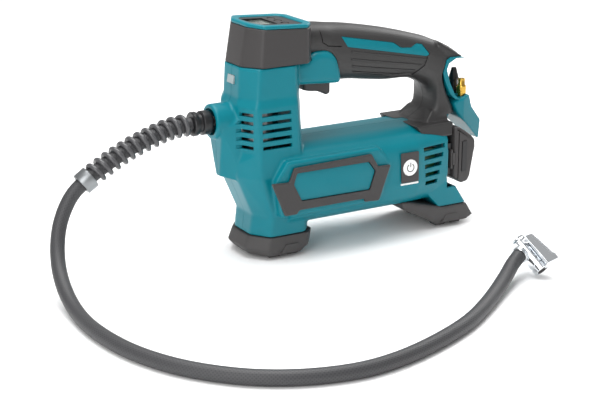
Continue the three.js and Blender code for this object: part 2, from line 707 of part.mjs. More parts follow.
const plateX = gearX + gearWidth + 2;
const plateThickness = 3;
const motorX = plateX + plateThickness + gap;
const shaftRadius = 1.6;
const stubRadius = 2.5;
const pinRadius = 2;
const throwRadius = stroke / 2;
function addDrive() {
  const crank = join(
    gear(gearTeeth, gearX, gearX + gearWidth, 0),
    rod('x', pinRadius, cylinderX - 3.4, gearX + 0.5, [throwRadius, 0], 16),
    rod('x', 6, gearX - 1.5, gearX + 0.5, [0, 0], 20),
  ).translate([0, 0, gearZ]).subtract(rod('x', stubRadius + 0.08, gearX - 5, gearX + 20, [0, gearZ], 20));
  add('crank_gear', crank, steel);
  const pinion = gear(pinionTeeth, gearX - 0.5, gearX + gearWidth + 0.5, Math.PI / pinionTeeth)
    .translate([0, 0, motorZ])
    .subtract(rod('x', shaftRadius + 0.1, -length, length, [0, motorZ], 14));
  add('drive_pinion', pinion, brass);
  const bracketZ1 = barrelTop - 4;
  add('gear_bracket', cut(
    join(
      block(plateX, plateX + plateThickness, -21, 21, gearZ - 18, bracketZ1 - 6),
      rod('x', stubRadius, gearX - 1.2, plateX + 0.5, [0, gearZ], 20),
    ),
    rod('x', 6, plateX - 1, plateX + 5, [0, motorZ]),
  ), castMetal);

  const canEnd = motorX + motorLength;
  add('motor_can', cut(
    rod('x', motorRadius, motorX, canEnd, [0, motorZ]),
    rod('x', motorRadius - 1.6, motorX + 1.6, canEnd + 1, [0, motorZ]),
    rod('x', 4, motorX - 1, motorX + 5, [0, motorZ]),
  ), steel);
  add('motor_end_bell', cut(
    join(
      rod('x', motorRadius, canEnd + gap, canEnd + 5, [0, motorZ]),
      rod('x', motorRadius - 2, canEnd - 4, canEnd + 1, [0, motorZ]),
      block(canEnd + 4, canEnd + 9, -8, -4, motorZ - 3, motorZ + 3),
      block(canEnd + 4, canEnd + 9, 4, 8, motorZ - 3, motorZ + 3),
    ),
    rod('x', shaftRadius + 0.3, canEnd - 10, canEnd + 20, [0, motorZ], 14),
    rod('x', 12, canEnd - 10, canEnd + 1, [0, motorZ]),
  ), black);
  add('motor_rotor', join(
    rod('x', shaftRadius, gearX - 0.5, canEnd + 16, [0, motorZ], 14),
    rod('x', 11, motorX + 10, canEnd - 14, [0, motorZ]),
    rod('x', 5, canEnd - 14.5, canEnd - 5, [0, motorZ], 16),
  ), castMetal);
  const fanX = canEnd + 10.5;
  const blades = [];
  for (let i = 0; i < 8; i += 1) {
    const blade = new THREE.BoxGeometry(4.5, 11, 1).rotateX(0.35).translate(0, 10.5, 0);
    blades.push(solidOf(blade.rotateX(i * Math.PI / 4).translate(fanX + 2.5, 0, motorZ)));
  }
  add('cooling_fan', cut(
    join(rod('x', 6, fanX, fanX + 5, [0, motorZ]), ...blades),
    rod('x', shaftRadius + 0.1, fanX - 2, fanX + 9, [0, motorZ], 14),
  ), black);
}

// ---- Pump ------------------------------------------------------------------------------------
const cylinderBase = gearZ + 24;
const cylinderTop = bossZ - 8;
const eyeInner = 2 * throwRadius + pinRadius + 0.4;
const crownZ = (cylinderBase + cylinderTop) / 2 + 3;
function addPump() {
  const eye = eyeInner + 2.6;
  add('piston_rod', cut(
    join(
      rod('x', eye, cylinderX - 3, cylinderX + 3, [0, gearZ], 24),
      block(cylinderX - 3, cylinderX + 3, -3.5, 3.5, gearZ + eyeInner + 0.5, crownZ - 2),
      rod('z', boreRadius - 0.8, crownZ - 5, crownZ - 3.2, [cylinderX, 0]),
      rod('z', boreRadius - 3, crownZ - 5, crownZ - 0.5, [cylinderX, 0]),
      rod('z', boreRadius - 0.8, crownZ - 1.2, crownZ, [cylinderX, 0]),
    ),
    rod('x', eyeInner, cylinderX - 5, cylinderX + 5, [0, gearZ], 24),
  ), castMetal);
  add('piston_seal', cut(
    rod('z', boreRadius - gap, crownZ - 3, crownZ - 1.4, [cylinderX, 0]),
    rod('z', boreRadius - 3 + gap, crownZ - 5, crownZ + 5, [cylinderX, 0]),
  ), black);
  const fins = [];
  for (let z = cylinderBase + 8; z < cylinderTop - 3; z += 6) {
    fins.push(rod('z', boreRadius + 6, z, z + 1.8, [cylinderX, 0]));
  }
  add('pump_cylinder', cut(
    join(
      rod('z', boreRadius + 2.6, cylinderBase, cylinderTop, [cylinderX, 0]), ...fins,
      block(cylinderX - 13, plateX - gap, -14, 14, cylinderBase, cylinderBase + 3),
    ),
    rod('z', boreRadius, cylinderBase - 1, cylinderTop + 1, [cylinderX, 0]),
    block(plateX - gap, plateX + 20, -30, 30, cylinderBase, cylinderTop),
    rod('x', gearModule * (pinionTeeth + 3) / 2 + 1, gearX - 1.5, plateX + 1, [0, motorZ], 16),
    rod('x', gearModule * (gearTeeth + 2) / 2 + 1, gearX - 1.5, plateX + 1, [0, gearZ], 24),
  ), castMetal);
  const headX = cylinderX - boreRadius - 3;
  add('cylinder_head', cut(
    join(
      rod('z', boreRadius + 5, cylinderTop + gap, bossZ + 6, [cylinderX, 0]),
      rod('x', 4.5, headX - 3, cylinderX, [0, bossZ], 16),
    ),
    rod('x', 2, headX - 4, cylinderX - 3, [0, bossZ], 12),
    rod('z', 3.4, bossZ - 1, bossZ + 7, [cylinderX, 0], 16),
  ), castMetal);
  add('check_valve', turned([[0, 0], [3, 0], [3, 6], [5, 6], [5, 8.5], [0, 8.5]], 16)
    .translate(cylinderX, 0, bossZ + gap), brass);
  add('air_tube', cut(
    rod('x', 3.6, front(3) + gap, headX - 3 - gap, [0, bossZ], 16),
    rod('x', 2, front(-5), headX, [0, bossZ], 12),
  ), black);
  add('control_board', block(
    rear(82), rear(56), -24, -22.4, 36, 68,
  ), board);
}

// ---- Power button ----------------------------------------------------------------------------
function addPower() {
  add('power_plate', cut(
    slab(powerPlate, -sideHalf - gap - 1, -sideHalf - gap),
    rod('y', powerRadius + gap, -50, -20, [powerX, powerZ]),
  ), charcoal);
  add('power_button', join(
    rod('y', powerRadius, -sideHalf - gap - 1.6, -sideHalf + wall + 1, [powerX, powerZ]),
    rod('y', powerRadius + 1.2, -sideHalf + wall + 0.6, -sideHalf + wall + 1.6, [powerX, powerZ]),
  ), white);
}

// ---- Hose ------------------------------------------------------------------------------------
// Centre line from the gland to the chuck: first in the air inside its guard, then along the floor.
const hoseRoute = [
  [-139.2, 0, 109], [-152.5, 0, 108.3], [-164.5, 0, 105.8], [-176.5, 0, 101.8], [-189, 0, 97.3],
  [-201.5, 0, 91.4], [-211.5, 0, 86], [-221.5, 0, 80], [-234.1, -0.1, 70.5], [-242, -1.4, 60],
  [-247.8, -4, 48.5], [-252.2, -9.5, 36.5], [-256, -19.5, 25.5], [-258.8, -33, 16.8], [-260.6, -49, 10.2],
  [-262, -68, 6.4], [-262.8, -90, 5.4], [-261.6, -114, 5.4], [-256.6, -142, 5.4], [-246.6, -169.5, 5.4],
  [-234.5, -190.5, 5.4], [-219.5, -208.5, 5.4], [-204, -222, 5.4], [-184.8, -233.3, 5.4],
  [-163.5, -241.1, 5.4], [-139.6, -244.9, 5.4], [-111.8, -242.3, 5.4], [-79.8, -233.3, 5.4],
  [-43.6, -218, 5.4], [-18, -202.5, 5.5], [10, -182.5, 6.6], [34.1, -164.8, 10.3], [45.5, -156.6, 13.3],
  [55, -151.5, 16.3],
];
const routePoints = hoseRoute.map((p) => new THREE.Vector3(...p));
const route = new THREE.CatmullRomCurve3(routePoints, false, 'centripetal');
const routeLength = route.getLength();
class Stretch extends THREE.Curve {
  constructor(from, to) {
    super();
    this.from = from / routeLength;
    this.to = to / routeLength;
  }

  getPoint(u, target = new THREE.Vector3()) {
    return target.copy(route.getPointAt(THREE.MathUtils.lerp(this.from, this.to, u)));
  }
}

function ringSection(outer, inner, sides) {
  const step = 2 * Math.PI / sides;
  const circle = (r) => Array.from({ length: sides }, (_, i) => (
    new THREE.Vector2(r * Math.cos(i * step), r * Math.sin(i * step))
  ));
  const shape = new THREE.Shape(circle(outer));
  if (inner) shape.holes.push(new THREE.Path(circle(inner).reverse()));
  return shape;
}

function alongRoute(outer, inner, from, to, steps, sides) {
  const extrudePath = new Stretch(from, to);
  return new THREE.ExtrudeGeometry(ringSection(outer, inner, sides), { steps, extrudePath });
}

function addHose() {
  const glandFront = front(0) - gap - glandLength;
  const gland = turned([
    [3, 0], [glandRadius, 0], [glandRadius, 4], [glandRadius - 1.4, 5], [glandRadius - 1.4, 7],
    [glandRadius, 8], [glandRadius, glandLength - 1.5], [glandRadius - 1.2, glandLength], [3, glandLength],
    [3, 0],
  ], 18);
  gland.rotateY(Math.PI / 2).translate(glandFront, 0, bossZ);
  add('hose_gland', gland, black);
  add('spring_guard', alongRoute(guardRadius, hoseRadius + hoseRoom, 0.8, guardLength, 14, 10), black);
  const cuffEnd = guardLength + cuffLength;
  const cuff = alongRoute(cuffRadius, hoseRadius + hoseRoom, guardLength + gap, cuffEnd, 2, 16);
  add('hose_cuff', cuff, castMetal);
  add('air_hose', alongRoute(hoseRadius, 0, 0.4, routeLength, 60, 8), hoseRubber);
}

// The chuck lies on the floor with its mouth turned down, at the end of the hose.
const chuckBodyRadius = 7;
const chuckHeading = 18;       // degrees about Z
const chuckPitch = 38.7;       // degrees that the mouth points down
const headReach = 12;          // hose end to the chuck's axis
const mouthRadius = 4.6;
const mouthEnd = -21.5;        // along the chuck, from where the hose joins it
const leverReach = 3;          // radius of the lever's foot around its pin
const leverHalf = 7.5;
const pinY = 2;
const pinZ = 8.4;              // lever pin above the chuck's axis
const pinHole = 1.3;
const earRadius = 2.3;
const toDegrees = (radians) => radians * 180 / Math.PI;
function addChuck() {
  const chuck = new THREE.Group();
  const heading = route.getTangentAt(1);
  chuck.position.copy(route.getPointAt(1));
  pump.add(chuck);
  const turn = [0, -toDegrees(Math.asin(heading.z)), toDegrees(Math.atan2(heading.y, heading.x))];
  const head = heading.clone().multiplyScalar(headReach).toArray();
  const tilt = (solid) => solid.rotate([chuckPitch, 0, chuckHeading]).translate(head);
  const part = (name, shape, material) => add(name, shape, material, chuck);
  const ferrule = turned([
    [0, 0], [6.4, 0], [6.4, 1.5], [5.9, 2], [5.9, 3], [6.4, 3.5], [6.4, 5], [4.6, 5.5], [4.6, 10], [0, 10],
  ]).rotateY(Math.PI / 2).translate(gap, 0, 0);
  const seat = tilt(rod('y', chuckBodyRadius + gap, -40, 40, [0, 0]));
  part('hose_ferrule', cut(solidOf(ferrule).rotate(turn), seat), chrome);
  part('chuck_body', tilt(cut(
    join(
      rod('y', chuckBodyRadius, mouthEnd, 7.5, [0, 0]),
      rod('y', chuckBodyRadius - 1.6, 7, 9, [0, 0]),
      ...[-4.5, 1.6].flatMap((x) => [
        rod('x', earRadius, x, x + 2.9, [pinY, pinZ], 16),
        block(x, x + 2.9, pinY - earRadius, pinY + earRadius, 3, pinZ),
      ]),
    ),
    rod('y', mouthRadius, mouthEnd - 1, mouthEnd + 10, [0, 0]),
    rod('x', pinHole, -10, 10, [pinY, pinZ], 12),
    rod('x', leverReach + gap, -1.6, 1.6, [pinY, pinZ], 16),
  )), chrome);
  part('chuck_seal', tilt(cut(
    rod('y', mouthRadius - gap, mouthEnd - 0.5, mouthEnd + 9, [0, 0]),
    rod('y', 2.4, mouthEnd - 2, mouthEnd + 7.5, [0, 0], 16),
  )), black);
  part('lever_pin', tilt(rod('x', pinHole - gap, -6.2, 6.2, [pinY, pinZ], 12)), steel);
  // The lever's side, from its pin: a plate along the chuck with its tip turned down past the mouth.
  const plate = [
    [3, 2.6], [-19, 3.4], [-22.8, 3.2], [-24.4, -1], [-25.8, -0.6], [-24, 4.6], [-19.6, 4.9], [3.4, 4],
  ].map(([y, z]) => [pinY + y, pinZ + z]);
  part('chuck_lever', tilt(cut(
    join(
      slabX(plate, -leverHalf, leverHalf),
      rod('x', leverReach, -1.3, 1.3, [pinY, pinZ], 16),
      block(-1.3, 1.3, pinY - 2, pinY + 2, pinZ, pinZ + 3),
    ),
    rod('x', pinHole, -10, 10, [pinY, pinZ], 12),
  )), chrome);
}

// An outline in Y and Z, made solid between two X values.
function slabX(outline, x0, x1) {
  const geometry = new THREE.ExtrudeGeometry(shapeOf(outline), { depth: x1 - x0, bevelEnabled: false });
  geometry.rotateX(Math.PI / 2).rotateZ(Math.PI / 2);
  return solidOf(geometry.translate(x0, 0, 0));
}

addHousing();
addScrews();
addGrip();
addGauge();
addTrigger();
addFeet();
addRear();
addDrive();
addPump();
addPower();
addBadge(-1, 'right');
addBadge(1, 'left');
addHose();
addChuck();

export default pump;
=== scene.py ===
"""A battery hand-held air pump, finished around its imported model."""
import json
import math

import bmesh
import bpy
from mathutils import Matrix, Vector


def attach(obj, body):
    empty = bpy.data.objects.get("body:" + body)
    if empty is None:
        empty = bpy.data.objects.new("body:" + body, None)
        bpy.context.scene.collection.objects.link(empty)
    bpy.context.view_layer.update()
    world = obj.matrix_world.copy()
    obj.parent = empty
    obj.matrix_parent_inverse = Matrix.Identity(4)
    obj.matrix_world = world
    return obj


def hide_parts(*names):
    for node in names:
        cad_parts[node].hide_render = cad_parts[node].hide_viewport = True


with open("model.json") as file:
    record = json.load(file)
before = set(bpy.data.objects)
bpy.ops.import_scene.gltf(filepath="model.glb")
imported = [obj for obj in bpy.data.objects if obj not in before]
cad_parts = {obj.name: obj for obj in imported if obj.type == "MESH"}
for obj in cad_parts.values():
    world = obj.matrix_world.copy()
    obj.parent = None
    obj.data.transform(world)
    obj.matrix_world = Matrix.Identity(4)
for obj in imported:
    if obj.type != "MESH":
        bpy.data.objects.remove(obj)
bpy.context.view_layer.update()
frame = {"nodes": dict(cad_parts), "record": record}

MM = 0.001

# ---- Places, in millimetres ------------------------------------------------------------------
LENGTH = 247
HEIGHT = 181
SIDE_HALF = 37
HANDLE_HALF = 17
TOWER_HALF = 27.5
BARREL_TOP = 88.5
FOOT_TOP = 18
BOSS_Z = 109
BOSS_RADIUS = 13.5
WALL = 2.4
SKIRT_HALF = 30
CAP_HALF = 18
CAP_TIP_HALF = 9
BAY_FRONT = 47.2         # the battery bay's front wall, ahead of the rear tip
GAP = 0.3
GRIP_WALL = 2.8
COLLAR_TOP = HEIGHT - 3
COLLAR_LOW = COLLAR_TOP - 27
COLLAR_BACK = 77.5
FACE_SHARE = 0.46        # the tower's flat front, as a share of its width
BATTERY_HALF = 31
POWER_PLACE = (-LENGTH / 2 + 157.5, 59.5)


def front(distance):
    """X of a place that far behind the hose boss's face."""
    return -LENGTH / 2 + distance


def rear(distance):
    """X of a place that far ahead of the rear tip."""
    return LENGTH / 2 - distance


def below(distance):
    """Z of a place that far below the gauge's rim."""
    return HEIGHT - distance


# ---- Outlines and meshes ---------------------------------------------------------------------
def inset(outline, distance):
    """Each side of an outline moved inwards by the same distance."""
    pairs = list(zip(outline, outline[1:] + outline[:1]))
    side = math.copysign(1, sum(a[0] * b[1] - b[0] * a[1] for a, b in pairs))
    moved = []
    for i, here in enumerate(outline):
        before = (Vector(here) - Vector(outline[i - 1])).normalized()
        after = (Vector(outline[(i + 1) % len(outline)]) - Vector(here)).normalized()
        reach = distance * side / max(1 + before.dot(after), 0.3)
        moved.append((here[0] - (before.y + after.y) * reach, here[1] + (before.x + after.x) * reach))
    return moved


def rounded(outline, radius, steps=4):
    """An outline with its corners taken round."""
    points = []
    for i, here in enumerate(outline):
        here = Vector(here)
        ends = []
        for other in (outline[i - 1], outline[(i + 1) % len(outline)]):
            reach = Vector(other) - here
            ends.append(here + reach * min(0.45, radius / reach.length))
        for k in range(steps + 1):
            u = k / steps
            points.append(tuple(ends[0] * (1 - u) ** 2 + here * 2 * u * (1 - u) + ends[1] * u * u))
    return points


def mirrored(half):
    return half + [(x, -y) for x, y in reversed(half) if y]


def plan(outline, z):
    return [(x, y, z) for x, y in outline]


def add_hull(bm, points):
    """The closed skin around some points."""
    made = bmesh.ops.convex_hull(bm, input=[bm.verts.new(p) for p in points])
    spare = {v for v in made["geom_interior"] + made["geom_unused"] if isinstance(v, bmesh.types.BMVert)}
    bmesh.ops.delete(bm, geom=list(spare), context="VERTS")


def add_box(bm, x0, x1, y0, y1, z0, z1):
    add_hull(bm, [(x, y, z) for x in (x0, x1) for y in (y0, y1) for z in (z0, z1)])


def add_loft(bm, rings, ends=True):
    """A skin over rings of equally many corners, closed by caps, or into a band without them."""
    rows = [[bm.verts.new(p) for p in ring] for ring in rings]
    count = len(rows[0])
    for a, b in zip(rows, rows[1:] + ([] if ends else rows[:1])):
        for i in range(count):
            j = (i + 1) % count
            bm.faces.new((a[i], a[j], b[j], b[i]))
    if ends:
        bm.faces.new(rows[0][::-1])
        bm.faces.new(rows[-1])


def edge_steps(bevel, steps=4):
    """How far in and how far along each ring of a rounded edge lies."""
    turns = [math.pi / 2 * k / steps for k in range(steps + 1)]
    return [(bevel * (1 - math.sin(a)), bevel * (1 - math.cos(a))) for a in turns]


def add_slab(bm, outline, y0, y1, bevel=0.0, corner=0.0, steps=4):
    """An outline in X and Z made solid between two Y values, with rounded rims."""
    if corner:
        outline = rounded(outline, corner)
    rim = edge_steps(bevel, steps) if bevel else [(0, 0)]
    levels = [(d, y0 + a) for d, a in rim] + [(d, y1 - a) for d, a in reversed(rim)]
    add_loft(bm, [[(x, y, z) for x, z in inset(outline, d)] for d, y in levels])


def add_turned(bm, profile, matrix=Matrix(), segments=48):
    """A piece turned about its own Z from (radius, height) points, open ends closed on the axis."""
    rings = []
    for radius, z in profile:
        turns = [2 * math.pi * i / segments for i in range(segments)]
        rings.append([matrix @ Vector((radius * math.cos(a), radius * math.sin(a), z)) for a in turns])
    add_loft(bm, rings, ends=profile[0] != profile[-1])


def along_x(x, y, z):
    return Matrix.Translation((x, y, z)) @ Matrix.Rotation(math.pi / 2, 4, "Y")


def along_y(x, y, z):
    return Matrix.Translation((x, y, z)) @ Matrix.Rotation(-math.pi / 2, 4, "X")


def made(name, *steps):
    """An object of the shapes that the steps add, given in millimetres."""
    bm = bmesh.new()
    for step in steps:
        step(bm)
    bmesh.ops.recalc_face_normals(bm, faces=bm.faces)
    bmesh.ops.scale(bm, vec=(MM, MM, MM), verts=bm.verts)
    mesh = bpy.data.meshes.new(name)
    bm.to_mesh(mesh)
    bm.free()
    obj = bpy.data.objects.new(name, mesh)
    bpy.context.scene.collection.objects.link(obj)
    return obj


def settle(obj):
    """Makes what the modifiers give the object's own mesh."""
    graph = bpy.context.evaluated_depsgraph_get()
    mesh = bpy.data.meshes.new_from_object(obj.evaluated_get(graph))
    obj.modifiers.clear()
    obj.data = mesh
    return obj


def softened(obj, voxel, rounds=5):
    """One skin around overlapping shapes, with its edges eased."""
    skin = obj.modifiers.new("skin", "REMESH")
    skin.mode = "VOXEL"
    skin.voxel_size = voxel * MM
    ease = obj.modifiers.new("ease", "SMOOTH")
    ease.factor = 0.5
    ease.iterations = rounds
    return settle(obj)


def combine(obj, tool, operation="DIFFERENCE"):
    """The object cut, joined or kept by the tool, which is used up."""
    step = obj.modifiers.new("combine", "BOOLEAN")
    step.operation = operation
    step.solver = "MANIFOLD"
    step.object = tool
    settle(obj)
    bpy.data.objects.remove(tool)
    return obj


def twin(obj, name):
    """A copy of the object with a mesh of its own."""
    copy = bpy.data.objects.new(name, obj.data.copy())
    bpy.context.scene.collection.objects.link(copy)
    return copy


def finish(obj, name, slot, body="pump", nodes=(), material=None, angle=38):
    """Names a piece, gives it its finish and hangs it on its body."""
    obj.name = name
    obj.data.name = name
    obj.data.materials.clear()
    obj.data.materials.append(MATERIALS[material or slot])
    for face in obj.data.polygons:
        face.use_smooth = True
    obj.data.set_sharp_from_angle(angle=math.radians(angle))
    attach(obj, body)
    if nodes:
        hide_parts(*nodes)
    return obj


# ---- Camera, light and floor -----------------------------------------------------------------
def make_camera():
    data = bpy.data.cameras.new("camera")
    data.lens = 87
    data.sensor_width = 36
    data.clip_start = 0.01
    camera = bpy.data.objects.new("camera", data)
    camera.location = Vector((-596.1, -948.1, 382.8)) * MM
    camera.rotation_euler = (math.radians(90 - 17.61), 0, math.radians(-30.17))
    bpy.context.scene.collection.objects.link(camera)
    bpy.context.scene.camera = camera


def soft_box(name, place, size, watts, target=(0, 0, 0.09)):
    data = bpy.data.lights.new(name, "AREA")
    data.shape = "RECTANGLE"
    data.size, data.size_y = size
    data.energy = watts
    light = bpy.data.objects.new(name, data)
    light.location = place
    aim = Vector(target) - Vector(place)
    light.rotation_euler = aim.to_track_quat("-Z", "Y").to_euler()
    bpy.context.scene.collection.objects.link(light)


def make_studio():
    world = bpy.data.worlds.new("studio")
    bpy.context.scene.world = world
    world.use_nodes = True
    sky = world.node_tree.nodes["Background"]
    sky.inputs["Color"].default_value = (1, 1, 1, 1)
    sky.inputs["Strength"].default_value = 0.5
    soft_box("overhead", (-0.1, 0.1, 1.3), (1.4, 1.0), 23)
    soft_box("left_front", (-1.3, -0.9, 0.7), (0.8, 1.2), 12)
    soft_box("right_rear", (1.2, 0.5, 0.9), (0.8, 1.0), 8)
    mesh = bpy.data.meshes.new("floor")
    reach = 6
    corners = [(x * reach, y * reach, 0) for x, y in ((-1, -1), (1, -1), (1, 1), (-1, 1))]
    mesh.from_pydata(corners, [], [(0, 1, 2, 3)])
    floor = bpy.data.objects.new("floor", mesh)
    bpy.context.scene.collection.objects.link(floor)
    mesh.materials.append(plain_paint("studio_floor", "#FCFCFC", 0.9))
    bpy.context.scene.view_settings.view_transform = "Standard"


# ---- Materials -------------------------------------------------------------------------------
def linear(code, alpha=1.0):
    """An sRGB hex colour as linear RGBA."""
    values = [int(code[i:i + 2], 16) / 255 for i in (1, 3, 5)]
    return [v / 12.92 if v <= 0.04045 else ((v + 0.055) / 1.055) ** 2.4 for v in values] + [alpha]


def add_node(tree, kind, values=None, links=None, **settings):
    """A node with its settings, its unlinked inputs and its links from other nodes' outputs."""
    node = tree.nodes.new(kind)
    for key, value in settings.items():
        setattr(node, key, value)
    for key, value in (values or {}).items():
        node.inputs[key].default_value = value
    for key, source in (links or {}).items():
        tree.links.new(source, node.inputs[key])
    return node


def new_material(name, base, roughness, metallic=0.0, **sockets):
    material = bpy.data.materials.new(name)
    material.use_nodes = True
    tree = material.node_tree
    shader = tree.nodes["Principled BSDF"]
    shader.inputs["Base Color"].default_value = linear(base)
    shader.inputs["Roughness"].default_value = roughness
    shader.inputs["Metallic"].default_value = metallic
    for key, value in sockets.items():
        shader.inputs[key.replace("_", " ")].default_value = value
    return material, tree, shader


def plain_paint(name, base, roughness):
    material, tree, shader = new_material(name, base, roughness)
    place = add_node(tree, "ShaderNodeTexCoord")
    cloud = add_node(tree, "ShaderNodeTexNoise", {"Scale": 3.0}, {"Vector": place.outputs["Object"]})
    spread = add_node(tree, "ShaderNodeMapRange", {"To Min": roughness - 0.03, "To Max": roughness + 0.03},
                      {"Value": cloud.outputs["Fac"]})
    tree.links.new(spread.outputs["Result"], shader.inputs["Roughness"])
    return material


def grained(name, base, roughness, grain_mm, depth, tint=0.06, metallic=0.0, cells=False, **sockets):
    """Moulded stuff with a fine spark-eroded or leathery grain and faint tone changes."""
    material, tree, shader = new_material(name, base, roughness, metallic, **sockets)
    place = add_node(tree, "ShaderNodeTexCoord").outputs["Object"]
    scale = 1 / (grain_mm * MM)
    if cells:
        pattern = add_node(tree, "ShaderNodeTexVoronoi", {"Scale": scale * 0.7}, {"Vector": place})
        grain = pattern.outputs["Distance"]
    else:
        pattern = add_node(tree, "ShaderNodeTexNoise", {"Scale": scale, "Detail": 3.0}, {"Vector": place})
        grain = pattern.outputs["Fac"]
    bump = add_node(tree, "ShaderNodeBump", {"Strength": depth, "Distance": grain_mm * MM * 0.5},
                    {"Height": grain})
    tree.links.new(bump.outputs["Normal"], shader.inputs["Normal"])
    cloud = add_node(tree, "ShaderNodeTexNoise", {"Scale": 28.0, "Detail": 4.0}, {"Vector": place})
    spread = add_node(tree, "ShaderNodeMapRange", {"To Min": roughness - 0.05, "To Max": roughness + 0.05},
                      {"Value": cloud.outputs["Fac"]})
    tree.links.new(spread.outputs["Result"], shader.inputs["Roughness"])
    tone = add_node(tree, "ShaderNodeMapRange", {"To Min": 1 - tint, "To Max": 1 + tint},
                    {"Value": cloud.outputs["Fac"]})
    colour = add_node(tree, "ShaderNodeHueSaturation", {"Color": linear(base)},
                      {"Value": tone.outputs["Result"]})
    tree.links.new(colour.outputs["Color"], shader.inputs["Base Color"])
    return material


MATERIALS = {}


def braided(name, base, thread_mm):
    """A rubber hose in a tight textile braid: two sets of threads crossing on the hose's own map."""
    material, tree, shader = new_material(name, base, 0.5, IOR=1.5)
    place = add_node(tree, "ShaderNodeUVMap", uv_map="length_and_turn").outputs["UV"]
    heights = []
    for turn in (0.8, -0.8):
        turned_map = add_node(tree, "ShaderNodeMapping", {"Rotation": (0, 0, turn)}, {"Vector": place})
        threads = add_node(tree, "ShaderNodeTexWave",
                           {"Scale": 1 / (thread_mm * MM * 6.3), "Distortion": 0.4},
                           {"Vector": turned_map.outputs["Vector"]}, wave_type="BANDS")
        heights.append(threads.outputs["Fac"])
    weave = add_node(tree, "ShaderNodeMath", {}, {0: heights[0], 1: heights[1]}, operation="MAXIMUM")
    bump = add_node(tree, "ShaderNodeBump", {"Strength": 0.35, "Distance": 0.3 * MM},
                    {"Height": weave.outputs[0]})
    tree.links.new(bump.outputs["Normal"], shader.inputs["Normal"])
    # Painted highlight and shade: the braid's colour runs lighter where the weave stands high and darker
    # where it sinks.
    tone = add_node(tree, "ShaderNodeMapRange", {"To Min": 0.7, "To Max": 1.25},
                    {"Value": weave.outputs[0]})
    colour = add_node(tree, "ShaderNodeHueSaturation", {"Color": linear(base)},
                      {"Value": tone.outputs["Result"]})
    tree.links.new(colour.outputs["Color"], shader.inputs["Base Color"])
    return material


def make_materials():
    make = MATERIALS
    # Glass-filled nylon, moulded with a fine spark-eroded grain: satin, a broad soft highlight.
    make["teal_plastic"] = grained("moulded_teal_nylon", "#00727F", 0.34, 0.35, 0.10, IOR=1.42,
                                   Specular_IOR_Level=0.35)
    make["charcoal_plastic"] = grained("moulded_charcoal_nylon", "#3B3939", 0.40, 0.4, 0.16, IOR=1.53,
                                       Specular_IOR_Level=0.3)
    # Thermoplastic elastomer over the handle: leathery grain, dull with a soft rim.
    make["soft_grip"] = grained("grip_elastomer", "#2B2A2A", 0.46, 0.6, 0.22, cells=True, IOR=1.5)
    make["foot_rubber"] = grained("foot_rubber", "#3E3C3C", 0.60, 0.5, 0.2, IOR=1.5)
    # Acetal for small pieces: dense, dark, a tight highlight.
    make["black_plastic"] = grained("black_acetal", "#19191B", 0.32, 0.4, 0.08, IOR=1.48)
    make["white_plastic"] = grained("white_abs", "#F6F6F4", 0.28, 0.3, 0.04, tint=0.01, IOR=1.54)
    # Bare metals: plain drawn, die cast with a sandy skin, plated smooth, and turned.
    make["steel"] = grained("drawn_steel", "#B7BABF", 0.3, 0.25, 0.06, metallic=1.0)
    make["cast_metal"] = grained("die_cast_zinc", "#8F9294", 0.38, 0.5, 0.12, metallic=1.0)
    make["chrome"] = grained("chrome_plate", "#DDE0E3", 0.09, 0.6, 0.02, tint=0.02, metallic=1.0)
    make["brass"] = grained("turned_brass", "#C39C46", 0.24, 0.3, 0.05, metallic=1.0)
    make["circuit_board"] = grained("solder_mask", "#1E5C37", 0.35, 0.8, 0.1, IOR=1.5)
    # Nitrile hose in a nylon braid with a fine diamond weave; its colour is painted lighter on the thread
    # crests and darker in the hollows between them, a painted highlight and painted shade over the bump.
    make["hose_rubber"] = braided("nylon_braid_over_nitrile", "#353537", 0.9)
    # Spring wire dipped in black vinyl: smooth, with a bright line along each turn.
    make["dipped_wire"] = grained("vinyl_dipped_spring_wire", "#4A4A4C", 0.26, 0.5, 0.05, IOR=1.52)
    make["clear_lens"] = grained("frosted_polycarbonate", "#A9B8BA", 0.2, 0.5, 0.03, tint=0.01, IOR=1.58,
                                 Transmission_Weight=0.25)
    make["display"] = grained("display_glass", "#8E9C90", 0.22, 0.5, 0.01, tint=0.02, IOR=1.5)
    make["ink"] = grained("printed_ink", "#2B2C2E", 0.45, 0.4, 0.03, tint=0.02, IOR=1.5)
    make["clear_window"] = grained("clear_polycarbonate", "#F4FAFB", 0.05, 0.5, 0.0, tint=0.01, IOR=1.58,
                                   Transmission_Weight=0.96)


def paint_frame():
    slots = {row["node"]: row["material_slot"] for row in frame["record"]["subparts"]}
    for name, node in frame["nodes"].items():
        node.data.materials.clear()
        node.data.materials.append(MATERIALS["clear_window" if name == "gauge_window" else slots[name]])


# ---- Housing forms ---------------------------------------------------------------------------
def tower_ring(z, face, corner, side, back, inwards=0.0):
    half = [
        (front(face), side * FACE_SHARE), (front(corner), side), (front(back - 7), side),
        (front(back), side * 0.7),
    ]
    outline = inset(mirrored(half), inwards)
    return plan(outline if inwards > 0 else rounded(outline, 2.2, 3), z)


SHOULDER = BOSS_Z + 12.5


def tower_rings(t):
    low = TOWER_HALF + 1.5
    return [
        tower_ring(FOOT_TOP + GAP + t, 26, 36.5, low - 1, 74, t),
        tower_ring(34, 28.5, 37, low, 74, t),
        tower_ring(67, 14.5, 26.5, SIDE_HALF - 5, 82, t),
        tower_ring(78, 14.5, 26, SIDE_HALF - 5.5, 72, t),
        tower_ring(86, 17, 26, SIDE_HALF - 6, 68, t),
        tower_ring(SHOULDER - t, 16, 25, low, 67, t),
        tower_ring(SHOULDER + 5 - t, 18.2, 27, TOWER_HALF, 67, t),
        tower_ring(COLLAR_LOW - GAP - t, 19.5, 29, TOWER_HALF - 0.5, 67, t),
    ]


def add_tower(bm, t):
    rings = tower_rings(t)
    for low, high in zip(rings, rings[1:]):
        add_hull(bm, low + high)


